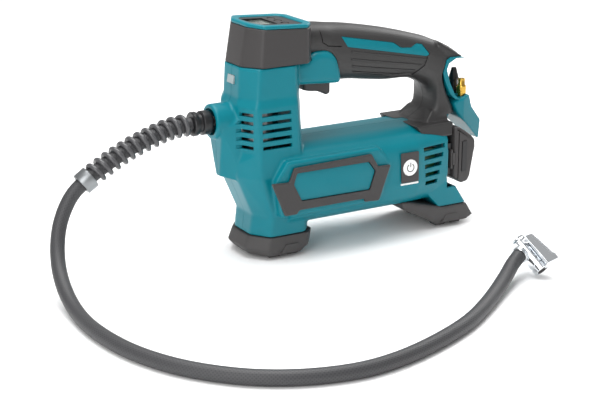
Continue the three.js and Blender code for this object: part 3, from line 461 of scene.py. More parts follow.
def add_boss(bm, t):
    r = BOSS_RADIUS - t
    face = front(-1) if t > 0 else front(0)
    add_turned(bm, [(r - 0.8, face), (r, face + 0.8), (r, front(25))], along_x(0, 0, BOSS_Z))
    add_hull(bm, [
        (front(4) + t, -r * 0.9, BOSS_Z - 4), (front(4) + t, r * 0.9, BOSS_Z - 4),
        (front(6) + t, -3 + t / 2, 66 + t), (front(6) + t, 3 - t / 2, 66 + t),
        (front(20), -r - 4, BOSS_Z + 2), (front(20), r + 4, BOSS_Z + 2),
        (front(20), -r - 3, 62 + t), (front(20), r + 3, 62 + t), (front(8) + t, 0, BOSS_Z + r),
    ])


def barrel_section(x, share, t):
    half = [
        (BARREL_TOP, 0), (BARREL_TOP - 1, 18), (BARREL_TOP - 4, 28), (BARREL_TOP - 11, SIDE_HALF - 1.5),
        (BARREL_TOP - 21, SIDE_HALF), (44, SIDE_HALF), (32.5, SIDE_HALF - 4), (25.2, 24), (23.5, 0),
    ]
    outline = mirrored([(z, y * share) for z, y in half])
    outline = inset(outline, t) if t > 0 else rounded(inset(outline, t), 4)
    return [(x, y, z) for z, y in outline]


def add_barrel(bm, t):
    middle = rear(80)
    add_hull(bm, barrel_section(front(51), 1, t) + barrel_section(middle, 1, t))
    add_hull(bm, barrel_section(middle, 1, t) + barrel_section(rear(47.5) - t, 0.84, t))


def square(x0, x1, y, z, t=0.0):
    return plan(inset([(x0, -y), (x1, -y), (x1, y), (x0, y)], t), z)


def add_rear_neck(bm, t):
    add_hull(bm, square(rear(54), rear(27), 29, FOOT_TOP + GAP + t, t)
             + square(rear(70), rear(39), 30, 36, t) + square(rear(74), rear(50), 30, 44, t))


# Cuts across the handle from the tower to the barrel: outer point, inner point, half width.
HANDLE_CUTS = [
    (front(64), below(3.6), front(64), below(30), 17),
    (front(90), below(4.7), front(90), below(32), 17),
    (front(103), below(6.2), front(103), below(49), 17),
    (front(121), below(8.4), front(121), below(52), 17),
    (rear(96), below(14), rear(96), below(56), 17),
    (rear(72), below(20), rear(73), below(57), 17),
    (rear(51), below(26.5), rear(58.5), below(63), 17.5),
    (rear(38), below(35), rear(54.5), below(67.5), 18),
    (rear(43.5), below(49.5), rear(52.6), below(73), 18),
    (rear(40.5), below(64), rear(52.8), below(78.5), 18.5),
    (rear(34.5), below(76), rear(55.5), below(84.5), 19),
    (rear(30), below(85), rear(62), below(89), 20),
    (rear(30), BARREL_TOP - 1, rear(69), BARREL_TOP - 1, 20),
    (rear(49), BARREL_TOP - 18, rear(78), BARREL_TOP - 18, 20),
]


def smooth_cuts(steps=5):
    """The handle's cuts with more between them, on a smooth line."""
    cuts = [Vector(c) if len(c) < 5 else c for c in HANDLE_CUTS]
    dense = []
    for i in range(len(cuts) - 1):
        four = [cuts[max(i - 1, 0)], cuts[i], cuts[i + 1], cuts[min(i + 2, len(cuts) - 1)]]
        for k in range(steps):
            u = k / steps
            weights = (
                -0.5 * u ** 3 + u ** 2 - 0.5 * u, 1.5 * u ** 3 - 2.5 * u ** 2 + 1,
                -1.5 * u ** 3 + 2 * u ** 2 + 0.5 * u, 0.5 * u ** 3 - 0.5 * u ** 2,
            )
            dense.append([sum(w * c[n] for w, c in zip(weights, four)) for n in range(5)])
    return dense + [list(cuts[-1])]


def handle_ring(cut, t, corners=28, power=2.7):
    outer, inner = Vector(cut[:2]), Vector(cut[2:4])
    middle = (outer + inner) / 2
    along = (outer - inner).normalized()
    high = (outer - inner).length / 2 - t
    wide = cut[4] - t
    ring = []
    for i in range(corners):
        a = 2 * math.pi * i / corners
        y = wide * math.copysign(abs(math.cos(a)) ** (2 / power), math.cos(a))
        v = high * math.copysign(abs(math.sin(a)) ** (2 / power), math.sin(a))
        ring.append((middle.x + along.x * v, y, middle.y + along.y * v))
    return ring


def add_handle(bm, t):
    add_loft(bm, [handle_ring(cut, t) for cut in smooth_cuts()])


BEAK = [
    (rear(50), below(27)), (rear(38), below(33)), (rear(29), below(39)), (rear(23), below(44)),
    (rear(30), below(44)), (rear(41), below(50)),
]
TRIGGER_HOUSING = [
    (front(62), below(48)), (front(62), below(31)), (front(71), below(30)), (front(81), below(24)),
    (front(94), below(24)), (front(101), below(30)), (front(105), below(43)), (front(105), below(51)),
]


def add_skirt(bm, t):
    add_hull(bm, square(rear(70), rear(43), SKIRT_HALF, 78 + t, t)
             + square(rear(77), rear(41), SKIRT_HALF - 2, BARREL_TOP - t, t))
    add_hull(bm, square(rear(67.5), rear(41), SKIRT_HALF - 7, BARREL_TOP - 4, t)
             + square(rear(55), rear(37), HANDLE_HALF, 97 - t, t))


EAR = front(31)
BADGE_REAR = front(137.6)


def on_badge(share):
    return EAR + (BADGE_REAR - EAR) * (share - 10) / 106.6


PAD = [(on_badge(x), z) for x, z in ((15, 65.5), (25, 80), (108, 80), (119, 65.5), (109, 36), (20, 36))]
FRAME = [(on_badge(x), z) for x, z in (
    (10, 65.4), (25.1, 64.5), (29.5, 75), (98.6, 76.5), (104.9, 65.7), (116.6, 65.4),
    (106.2, 37.8), (93, 38.3), (92.3, 41.2), (33.8, 41.2), (31.7, 38.2), (21.4, 38.4),
)]
WINDOW = [(on_badge(x), z) for x, z in (
    (31.5, 71), (96.3, 70.8), (102.6, 62.4), (97.4, 47.6), (35.9, 48.2), (28.6, 62.3),
)]
PAD_FACE = SIDE_HALF + 0.8
VENTS = 5                # slots in each group, one above the other
VENT_PITCH = 6.3
VENT_HEIGHT = 2.8
REAR_VENT_HEIGHT = 3.6


def add_vents(bm):
    for i in range(VENTS):
        z = SHOULDER - 4 - i * VENT_PITCH
        spans = [
            (front(29), front(54), -45, 45), (front(14), front(27), -26, -15), (front(14), front(27), 15, 26),
        ]
        for x0, x1, y0, y1 in spans:
            add_box(bm, x0, x1, y0, y1, z - VENT_HEIGHT, z)
        z = 73 - i * (VENT_PITCH + 0.8)
        add_box(bm, rear(75 - i * 0.7), rear(51.5 + i * 1.8), -45, 45, z - REAR_VENT_HEIGHT, z)


def halves(solid):
    """The solid's two sides, parted in the middle."""
    big = 400
    for label, low, high in (("right", -big, -GAP / 2), ("left", GAP / 2, big)):
        half = twin(solid, label)
        side = made("side", lambda bm: add_box(bm, -big, big, low, high, -big, big))
        yield label, combine(half, side, "INTERSECT")
    bpy.data.objects.remove(solid)


def collar_outline(share, t):
    """The gauge collar's plan from its foot, share 0, to its rim, share 1."""
    def mix(low, high):
        return low + (high - low) * share
    side = TOWER_HALF - mix(0.3, 0.6)
    half = [
        (front(mix(20, 25)), side * FACE_SHARE), (front(mix(30.8, 33)), side), (front(COLLAR_BACK - 7), side),
        (front(COLLAR_BACK), side * 0.7),
    ]
    return inset(mirrored(half), t)


def rise(x):
    """How far the gauge's sloping top lies above its level part."""
    return max(0.0, 2.5 * (front(60) - x) / 35)


def make_housing():
    outer = softened(made(
        "outer", lambda bm: add_tower(bm, 0), lambda bm: add_boss(bm, 0), lambda bm: add_barrel(bm, 0),
        lambda bm: add_rear_neck(bm, 0), lambda bm: add_handle(bm, GRIP_WALL + GAP),
        lambda bm: add_slab(bm, TRIGGER_HOUSING, -20, 20, 5, 4),
        lambda bm: add_slab(bm, PAD, -PAD_FACE, PAD_FACE, 1.6, 2),
    ), 1.0, 3)
    hollow = softened(made(
        "hollow", lambda bm: add_tower(bm, WALL), lambda bm: add_boss(bm, WALL),
        lambda bm: add_barrel(bm, WALL), lambda bm: add_rear_neck(bm, WALL),
        lambda bm: add_handle(bm, GRIP_WALL + GAP + WALL),
        lambda bm: add_slab(bm, inset(TRIGGER_HOUSING, WALL), -20 + WALL, 20 - WALL, 3),
    ), 2.0, 1)
    shell = combine(outer, hollow)
    lens_half = 5 + GAP
    x, z = POWER_PLACE
    tools = [
        add_vents,
        lambda bm: add_box(
            bm, front(0), front(24), -lens_half, lens_half, below(44) - GAP, below(38) + GAP),
        lambda bm: add_box(
            bm, front(78) - GAP, front(102) + 0.6, -7 - GAP, 7 + GAP, below(70), below(33.4)),
        lambda bm: add_box(bm, rear(BAY_FRONT), rear(-5), -60, 60, 34, below(95.5)),
        lambda bm: add_hull(bm, plan(collar_outline(0, -GAP), COLLAR_LOW - GAP)
                            + plan(collar_outline(1, -GAP), HEIGHT + 5)),
        lambda bm: add_turned(
            bm, [(BOSS_RADIUS - 3.6, -5), (BOSS_RADIUS - 3.6, 30)], along_x(front(0), 0, BOSS_Z)),
        lambda bm: add_turned(bm, [(6.7 + GAP, -50), (6.7 + GAP, -20)], along_y(x, 0, z)),
        lambda bm: add_box(bm, rear(BAY_FRONT + 3), rear(20), -12, 12, 40, 76),
    ]
    for tool in tools:
        combine(shell, made("tool", tool))
    for label, half in halves(shell):
        finish(half, f"shell_{label}", "teal_plastic", nodes=[f"housing_{label}"])


# ---- Soft grip -------------------------------------------------------------------------------
RIB_LINES = [
    ((115.1, 27.6), (186, 41.1)), ((115.2, 33.5), (181.4, 45.4)), ((116.2, 39.5), (176.7, 49.7)),
    ((117.2, 44.3), (171.1, 53.1)),
]
RIB_PANEL = [(111.5, 23.8), (186.9, 38.8), (184.3, 45.7), (171.2, 55.5), (117.2, 44.6)]
INLAY = [
    (106.1, 14.8), (154.4, 24.3), (161, 28.9), (170.5, 29.9), (176.1, 27.3), (181.8, 28.2), (188.8, 37.4),
    (185.9, 38.7), (111.5, 23.8),
]
SEAM = [(86.6, 5), (88.8, 17.7), (93.8, 20.9), (106.2, 22.5)]
CAP = [
    (rear(21.5), below(76)), (rear(17), below(75)), (rear(13), below(86)), (rear(0), below(100)),
    (rear(2), below(116)), (rear(20), below(99)), (rear(27), below(93)), (rear(30.5), below(88)),
    (rear(33.5), below(81)), (rear(30), below(78)),
]
NICHE = [
    (rear(24), below(43.4)), (rear(33), below(43)), (rear(40), below(46.6)), (rear(42), below(51.5)),
    (rear(38.8), below(62)), (rear(33), below(73.5)), (rear(28), below(78)),
]


def placed(points):
    return [(front(d), below(b)) for d, b in points]


def strip(line, width):
    """A narrow outline around a line of two or more points."""
    points = [Vector(p) for p in placed(line)]
    sides = ([], [])
    for i, here in enumerate(points):
        run = (points[min(i + 1, len(points) - 1)] - points[max(i - 1, 0)]).normalized()
        across = Vector((-run.y, run.x)) * width / 2
        sides[0].append(tuple(here + across))
        sides[1].append(tuple(here - across))
    return sides[0] + sides[1][::-1]


def both_sides(bm, outline, depth, corner=0.0):
    for y0, y1 in ((-30, -depth), (depth, 30)):
        add_slab(bm, outline, y0, y1, corner=corner)


def handle_skin(name, t, *parts):
    """The handle's form moved in by t, kept where the given outlines stand."""
    form = made(name, lambda bm: add_handle(bm, t))
    form = softened(form, 1.0, 2)
    return combine(form, made("keep", *parts), "INTERSECT")


def make_grip():
    body = softened(made(
        "grip", lambda bm: add_handle(bm, 0), lambda bm: add_skirt(bm, 0),
        lambda bm: add_slab(bm, BEAK, -HANDLE_HALF + 1, HANDLE_HALF - 1, 4, 3),
    ), 0.9, 6)
    core = softened(made(
        "core", lambda bm: add_handle(bm, GRIP_WALL), lambda bm: add_skirt(bm, GRIP_WALL),
    ), 1.6, 1)
    combine(body, core)
    keep_off = softened(made(
        "keep_off", lambda bm: add_tower(bm, -GAP), lambda bm: add_barrel(bm, -GAP),
        lambda bm: add_slab(bm, inset(TRIGGER_HOUSING, -GAP), -20 - GAP, 20 + GAP, 5, 4),
    ), 1.0, 2)
    combine(body, keep_off)
    tools = [
        lambda bm: add_box(bm, rear(42), rear(-5), -60, 60, 34, below(88)),
        lambda bm: add_box(bm, front(0), front(COLLAR_BACK + 1), -60, 60, COLLAR_LOW - 20, HEIGHT + 9),
        lambda bm: add_slab(bm, inset(CAP, -GAP), -CAP_HALF - GAP, CAP_HALF + GAP),
        lambda bm: add_slab(bm, inset(NICHE, -GAP), -30, 30),
        lambda bm: both_sides(bm, rounded(placed(INLAY), 1, 3), 10),
        lambda bm: both_sides(bm, strip(SEAM, 0.7), 14.2),
    ]
    for tool in tools:
        combine(body, made("tool", tool))
    ribs = handle_skin("ribs", 0.75, lambda bm: both_sides(bm, rounded(placed(RIB_PANEL), 1.5, 3), 12.6))
    panel = made("panel", lambda bm: both_sides(bm, rounded(placed(RIB_PANEL), 1.5, 3), 12.4))
    combine(body, panel)
    for label, half in halves(body):
        finish(half, f"soft_grip_{label}", "soft_grip", nodes=[f"grip_{label}"])
    for label, half in halves(ribs):
        finish(half, f"rib_panel_{label}", "soft_grip")
    bars = handle_skin("bars", 0.05, *[
        (lambda bm, line=line: both_sides(bm, strip(line, 1.3), 12.8)) for line in RIB_LINES
    ])
    for label, half in halves(softened(bars, 0.35, 2)):
        finish(half, f"grip_ribs_{label}", "soft_grip", angle=60)
    inlay_outline = rounded(inset(placed(INLAY), 0.25), 1, 3)
    inlay = handle_skin("inlay", 0.35, lambda bm: both_sides(bm, inlay_outline, 10.4))
    for label, half in halves(inlay):
        finish(half, f"grip_inlay_{label}", "teal_plastic")


# ---- Gauge -----------------------------------------------------------------------------------
def add_band(bm, outline_at, profile):
    """A closed band around the gauge, from (share, inset, height, tilt) points of its section."""
    rings = []
    for share, t, z, tilt in profile:
        ring = rounded(outline_at(share, t), 2.4, 4)
        rings.append([(x, y, z + rise(x) * tilt) for x, y in ring])
    add_loft(bm, rings, ends=False)


def add_digit(bm, x, y, lit):
    """A seven-bar figure on the display, read from behind the gauge."""
    half, tall, thick = 2.2, 3.6, 0.45
    bars = [
        (tall, 0, 1), (tall / 2, half, 0), (-tall / 2, half, 0), (-tall, 0, 1), (-tall / 2, -half, 0),
        (tall / 2, -half, 0), (0, 0, 1),
    ]
    top = HEIGHT - 3.1
    for index in lit:
        up, across, level = bars[index]
        long_x, long_y = (thick, half - 0.6) if level else (tall / 2 - 0.6, thick)
        add_box(bm, x - up - long_x, x - up + long_x, y + across - long_y, y + across + long_y,
                top, top + 0.12)


def make_gauge():
    top = COLLAR_TOP - GAP
    collar = made("collar", lambda bm: add_band(bm, collar_outline, [
        (0, 0.5, COLLAR_LOW, 0), (0, 0, COLLAR_LOW + 0.6, 0), (1, 0, top - 0.6, 1), (1, 0.5, top, 1),
        (1, WALL, top, 1), (0, WALL, COLLAR_LOW, 0),
    ]))
    finish(collar, "gauge_collar_shell", "charcoal_plastic", nodes=["gauge_collar"], angle=30)
    bezel = made("bezel", lambda bm: add_band(bm, lambda share, t: collar_outline(1, t + 0.4), [
        (1, 0.4, COLLAR_TOP, 1), (1, 0, COLLAR_TOP + 0.5, 1), (1, 0, HEIGHT - 1.4, 1),
        (1, 0.3, HEIGHT - 0.6, 1), (1, 1.1, HEIGHT - 0.1, 1), (1, 2.2, HEIGHT, 1), (1, 4.6, HEIGHT - 0.2, 1),
        (1, 5.6, HEIGHT - 0.6, 1), (1, 6, HEIGHT - 1.2, 1), (1, 6, COLLAR_TOP, 0.8),
    ]))
    finish(bezel, "gauge_bezel_ring", "teal_plastic", nodes=["gauge_bezel"], angle=50)
    screen = made("screen", lambda bm: add_box(
        bm, front(34.5), front(51.5), -12.5, 12.5, HEIGHT - 3.9, HEIGHT - 3.2))
    finish(screen, "display_panel", "clear_lens", material="display")
    figures = made("figures", lambda bm: add_digit(bm, front(43), 7, (0, 1, 3, 4, 6)),
                   lambda bm: add_digit(bm, front(43), 0, (1, 2, 5, 6)),
                   lambda bm: add_digit(bm, front(43), -7, (0, 1, 2, 3, 4, 5)),
                   lambda bm: add_box(bm, front(46.4), front(47.2), 3.1, 3.9, HEIGHT - 3.1, HEIGHT - 2.98))
    finish(figures, "display_figures", "black_plastic", material="ink")


# ---- Trigger, badges, power button -----------------------------------------------------------
def make_trigger():
    outline = [
        (front(78), below(40)), (front(78), below(56)), (front(84), below(57.4)),
        (front(90), below(58)), (front(95), below(59.6)), (front(98.4), below(62)),
        (front(102), below(60.6)), (front(102), below(46)), (front(90), below(40)),
    ]
    trigger = made("trigger", lambda bm: add_slab(bm, outline, -7, 7, 1.8, 1.6))
    pocket = made("pocket", lambda bm: add_turned(
        bm, [(3.6, below(46.3)), (3.6, HEIGHT)], Matrix.Translation((front(84), 0, 0))))
    combine(trigger, pocket)
    finish(trigger, "trigger_lever", "charcoal_plastic", "trigger", ["trigger"])


def make_badges():
    inner = PAD_FACE + GAP
    for label, side in (("right", -1), ("left", 1)):
        def slab(bm, outline, y0, y1, *rest, sign=side):
            add_slab(bm, outline, *sorted((y0 * sign, y1 * sign)), *rest)
        ring = softened(made("ring", lambda bm: slab(bm, FRAME, inner, inner + 2.6, 0.9, 1.2)), 0.5, 1)
        hole = made("hole", lambda bm: slab(bm, WINDOW, inner - 1, inner + 5, 0, 1.2))
        combine(ring, hole)
        finish(ring, f"badge_surround_{label}", "charcoal_plastic", nodes=[f"badge_frame_{label}"])
        plate = made("plate", lambda bm: slab(bm, inset(WINDOW, GAP), inner, inner + 1.3, 0.35, 1.2))
        finish(plate, f"badge_field_{label}", "teal_plastic", nodes=[f"badge_plate_{label}"])


def make_power():
    x, z = POWER_PLACE
    outline = [(x - 9, z + 12.5), (x + 8, z + 12.5), (x + 8.5, z - 12), (x - 8, z - 12)]
    face = -SIDE_HALF - GAP
    plate = made("plate", lambda bm: add_slab(bm, outline, face - 1, face, 0.3, 1))
    combine(plate, made("hole", lambda bm: add_turned(bm, [(7, -50), (7, -20)], along_y(x, 0, z))))
    finish(plate, "power_button_plate", "charcoal_plastic", nodes=["power_plate"])
    # A thin white strip along the power plate's lower edge: a painted highlight standing for the light caught
    # on that edge, made as a white piece.
    highlight_outline = [(x - 8, z - 12.6), (x + 8.5, z - 12.6), (x + 8.5, z - 14), (x - 8, z - 14)]
    painted_edge_highlight = made("strip", lambda bm: add_slab(bm, highlight_outline, face - 0.5, face + 0.5, 0.2, 0.4))
    finish(painted_edge_highlight, "power_plate_painted_highlight", "white_plastic")
    cap = made("cap", lambda bm: add_turned(bm, [
        (0.01, face - 1.35), (4.5, face - 1.4), (5.9, face - 1.6), (6.5, face - 1.35), (6.7, face - 0.9),
        (6.7, face + 2.5), (7.9, face + 2.9), (7.9, face + 3.8), (0.01, face + 3.8),
    ], along_y(x, 0, z)))
    finish(cap, "power_button_cap", "white_plastic", "power_button", ["power_button"])

    def add_symbol(bm):
        rings = []
        for k in range(33):
            a = math.pi / 2 + math.radians(32) + math.radians(296) * k / 32
            rings.append([
                (x + r * math.cos(a), face - y, z + r * math.sin(a))
                for r, y in ((3.5, 1.3), (3.5, 1.52), (2.8, 1.52), (2.8, 1.3))
            ])
        add_loft(bm, rings)
        add_box(bm, x - 0.35, x + 0.35, face - 1.52, face - 1.3, z + 0.6, z + 4.2)
    finish(made("symbol", add_symbol), "power_symbol", "black_plastic", "power_button", material="ink")


# ---- Feet ------------------------------------------------------------------------------------
def make_feet():
    side = TOWER_HALF + 3

    def ring(z, face, corner, half, back):
        return tower_ring(z, face, corner, half, back)

    def relief(bm, x0, x1, y):
        """A raised trapezoid on the foot's side."""
        for sign in (-1, 1):
            base = [
                (x0, y * sign, 4.5), (x1, y * sign, 4.5), (x1 - 4, y * sign, 12), (x0 + 4, y * sign, 12),
            ]
            rim = (y + 2.8) * sign
            outer = [(x0 + 1, rim, 5.2), (x1 - 1, rim, 5.2), (x1 - 4.6, rim, 11.4), (x0 + 4.6, rim, 11.4)]
            add_hull(bm, base + outer)

    def pads(bm, spans):
        for x0, x1 in spans:
            for y in (-18, 18):
                add_hull(bm, square_at(x0 + 0.5, x1 - 0.5, y, 3.5, 0) + square_at(x0, x1, y, 4, 1)
                         + square_at(x0, x1, y, 4, 4))

    def square_at(x0, x1, y, half, z):
        return [(x0, y - half, z), (x1, y - half, z), (x1, y + half, z), (x0, y + half, z)]

    shoe = softened(made("front_shoe", lambda bm: add_hull(
        bm, ring(3, 25.5, 36, side - 2, 69) + ring(8.5, 20.5, 33, side - 0.5, 75)
        + ring(18, 24.2, 36, side - 1.5, 77))), 0.9, 2)
    combine(shoe, made("relief", lambda bm: relief(bm, front(44), front(64), side - 2.8)), "UNION")
    front_pads = [(front(38), front(48)), (front(54), front(64))]
    combine(shoe, made("pads", lambda bm: pads(bm, front_pads)), "UNION")
    finish(shoe, "front_foot_rubber", "foot_rubber", nodes=["front_foot"])

    back = made(
        "rear_shoe",
        lambda bm: add_hull(
            bm, square(rear(55), rear(25), side - 3, 3) + square(rear(62), rear(20.5), side - 0.5, 7.5)
            + square(rear(62), rear(27), side, 18)),
        lambda bm: add_hull(
            bm, square(rear(62), rear(50), side - 0.5, 7.5) + square(rear(62), rear(50), side, 18)
            + square(rear(88), rear(84), side - 3, 21) + square(rear(90), rear(84), side - 3, 27)))
    softened(back, 0.9, 2)
    above = made("above", lambda bm: add_barrel(bm, -GAP), lambda bm: add_rear_neck(bm, -GAP))
    combine(back, softened(above, 1.4, 1))
    combine(back, made("relief", lambda bm: relief(bm, rear(52), rear(32), side - 2.6)), "UNION")
    combine(back, made("pads", lambda bm: pads(bm, [(rear(52), rear(42)), (rear(37), rear(27))])), "UNION")
    finish(back, "rear_foot_rubber", "foot_rubber", nodes=["rear_foot"])


# ---- Rear cap, adapters and battery ----------------------------------------------------------
ADAPTER_X = rear(22)
ADAPTER_PITCH = 11


def make_rear():
    taper = [
        (rear(60), -CAP_HALF), (rear(24), -CAP_HALF), (rear(-1), -CAP_TIP_HALF),
        (rear(-1), CAP_TIP_HALF), (rear(24), CAP_HALF), (rear(60), CAP_HALF),
    ]
    cap = made("cap", lambda bm: add_slab(bm, CAP, -CAP_HALF, CAP_HALF, 1.8, 1.5))
    combine(cap, made("taper", lambda bm: add_hull(bm, plan(taper, 50) + plan(taper, 120))), "INTERSECT")
    softened(cap, 0.7, 3)
    for i in (-1, 0, 1):
        place = Matrix.Translation((ADAPTER_X, ADAPTER_PITCH * i, 0))
        combine(cap, made("peg", lambda bm: add_turned(bm, [(3.3, below(88)), (3.3, below(71))], place, 32)))
    finish(cap, "tail_cap", "teal_plastic", nodes=["rear_cap"])
    shelf = below(76)
    stem = [(0.01, -5), (2.4, -5), (2.6, -4.6), (2.6, 1.6)]
    pieces = [
        ("adapter_needle", "steel", [
            (4.2, 1.6), (4.4, 2), (4.4, 3.6), (2.8, 5), (2.8, 9), (1.2, 11), (1.2, 21.6), (0.8, 23),
            (0.01, 23),
        ]),
        ("adapter_cone", "black_plastic", [
            (4.4, 1.6), (4.6, 2), (4.6, 3.8), (3.6, 6), (3.6, 10), (4.3, 11.6), (4.3, 12.4), (2, 21),
            (0.01, 21),
        ]),
        ("adapter_valve", "brass", [
            (3.8, 1.6), (4, 2), (4, 7.6), (3.6, 8), (2.9, 9), (2.9, 13.6), (2.5, 14), (0.01, 14),
        ]),
    ]
    for i, (name, slot, profile) in enumerate(pieces):
        place = Matrix.Translation((ADAPTER_X, ADAPTER_PITCH * (1 - i), shelf))
        piece = made(name, lambda bm: add_turned(bm, stem + profile, place, 32))
        finish(piece, f"{name}_turned", slot, name, [name])

    battery_front = rear(41)
    outline = [
        (battery_front, 84.3), (battery_front, 42), (rear(33), 36), (rear(27), 37), (rear(24.5), 41),
        (rear(21), 61), (rear(20), 65), (rear(20.3), 71.5), (rear(24), 75.5), (rear(36), 84),
    ]
    pack = made("pack", lambda bm: add_slab(bm, outline, -BATTERY_HALF, BATTERY_HALF, 2.4, 1.8, 5))
    half = BATTERY_HALF
    for sign in (-1, 1):
        low, high = sorted((sign * (half - 1.4), sign * (half + 5)))
        groove = [(rear(37.6), 80), (rear(36.6), 80), (rear(36.6), 40), (rear(37.6), 41)]
        combine(pack, made("groove", lambda bm: add_slab(bm, groove, low, high)))
    slot = [(rear(34), 72), (rear(29), 72), (rear(29), 46), (rear(34), 46)]
    combine(pack, made("slot", lambda bm: add_slab(bm, slot, -half - 5, -half + 4, corner=1)))
    combine(pack, made("grooves", *[
        (lambda bm, z=z: add_box(bm, rear(21.5), rear(10), -14, 14, z, z + 1.6)) for z in (50, 54, 58)
    ]))
    combine(pack, made("tongue", lambda bm: add_box(bm, rear(44.5), rear(42.9), -half, half, 50, 66),
                       lambda bm: add_box(bm, rear(43.4), rear(40.6), -half, half, 53, 63)), "UNION")
    finish(pack, "battery_case", "charcoal_plastic", "battery", ["battery_pack"])


# ---- Hose ------------------------------------------------------------------------------------
HOSE_ROUTE = [
    (-139.2, 0, 109), (-152.5, 0, 108.3), (-164.5, 0, 105.8), (-176.5, 0, 101.8), (-189, 0, 97.3),
    (-201.5, 0, 91.4), (-211.5, 0, 86), (-221.5, 0, 80), (-234.1, -0.1, 70.5), (-242, -1.4, 60),
    (-247.8, -4, 48.5), (-252.2, -9.5, 36.5), (-256, -19.5, 25.5), (-258.8, -33, 16.8), (-260.6, -49, 10.2),
    (-262, -68, 6.4), (-262.8, -90, 5.4), (-261.6, -114, 5.4), (-256.6, -142, 5.4), (-246.6, -169.5, 5.4),
    (-234.5, -190.5, 5.4), (-219.5, -208.5, 5.4), (-204, -222, 5.4), (-184.8, -233.3, 5.4),
    (-163.5, -241.1, 5.4), (-139.6, -244.9, 5.4), (-111.8, -242.3, 5.4), (-79.8, -233.3, 5.4),
    (-43.6, -218, 5.4), (-18, -202.5, 5.5), (10, -182.5, 6.6), (34.1, -164.8, 10.3), (45.5, -156.6, 13.3),
    (55, -151.5, 16.3),
]
HOSE_RADIUS = 5.4
GUARD_RADIUS = 8.8
GUARD_LENGTH = 87
CUFF_LENGTH = 9.5
GLAND_FRONT = front(0) - GAP - 15.5


def smooth_route(steps=8):
    """The route's points with more between them, on a centripetal spline."""
    points = [Vector(p) for p in HOSE_ROUTE]
    ends = [points[0] * 2 - points[1], *points, points[-1] * 2 - points[-2]]
    dense = []
    for p0, p1, p2, p3 in zip(ends, ends[1:], ends[2:], ends[3:]):
        d0, d1, d2 = [(b - a).length ** 0.5 for a, b in ((p0, p1), (p1, p2), (p2, p3))]
        m1 = ((p1 - p0) / d0 - (p2 - p0) / (d0 + d1) + (p2 - p1) / d1) * d1
        m2 = ((p2 - p1) / d1 - (p3 - p1) / (d1 + d2) + (p3 - p2) / d2) * d1
        for k in range(steps):
            u = k / steps
            dense.append(p1 * (2 * u ** 3 - 3 * u ** 2 + 1) + m1 * (u ** 3 - 2 * u ** 2 + u)
                         + p2 * (3 * u ** 2 - 2 * u ** 3) + m2 * (u ** 3 - u ** 2))
    return dense + [points[-1]]


ROUTE = smooth_route()
REACHES = [0.0]
for before, after in zip(ROUTE, ROUTE[1:]):
    REACHES.append(REACHES[-1] + (after - before).length)


def route_at(reach):
    """The point and direction that far along the hose."""
    for i in range(1, len(ROUTE)):
        if REACHES[i] >= reach or i == len(ROUTE) - 1:
            run = ROUTE[i] - ROUTE[i - 1]
            share = (reach - REACHES[i - 1]) / run.length
            return ROUTE[i - 1] + run * share, run.normalized()


def route_frames(reaches):
    """Point, side and upward direction at each place, turning no more than the hose does."""
    side = Vector((0, 1, 0))
    frames = []
    for reach in reaches:
        point, run = route_at(reach)
        side = (side - run * side.dot(run)).normalized()
        frames.append((point, side, run.cross(side)))
    return frames


def route_ring(place, radius, corners):
    point, side, up = place
    turns = [2 * math.pi * i / corners for i in range(corners)]
    return [point + side * radius * math.cos(a) + up * radius * math.sin(a) for a in turns]


def add_sleeve(bm, profile, corners=40):
    """A band around the hose from (reach, radius) points of its section."""
    places = route_frames([reach for reach, _ in profile])
    add_loft(bm, [route_ring(place, r, corners) for place, (_, r) in zip(places, profile)], ends=False)


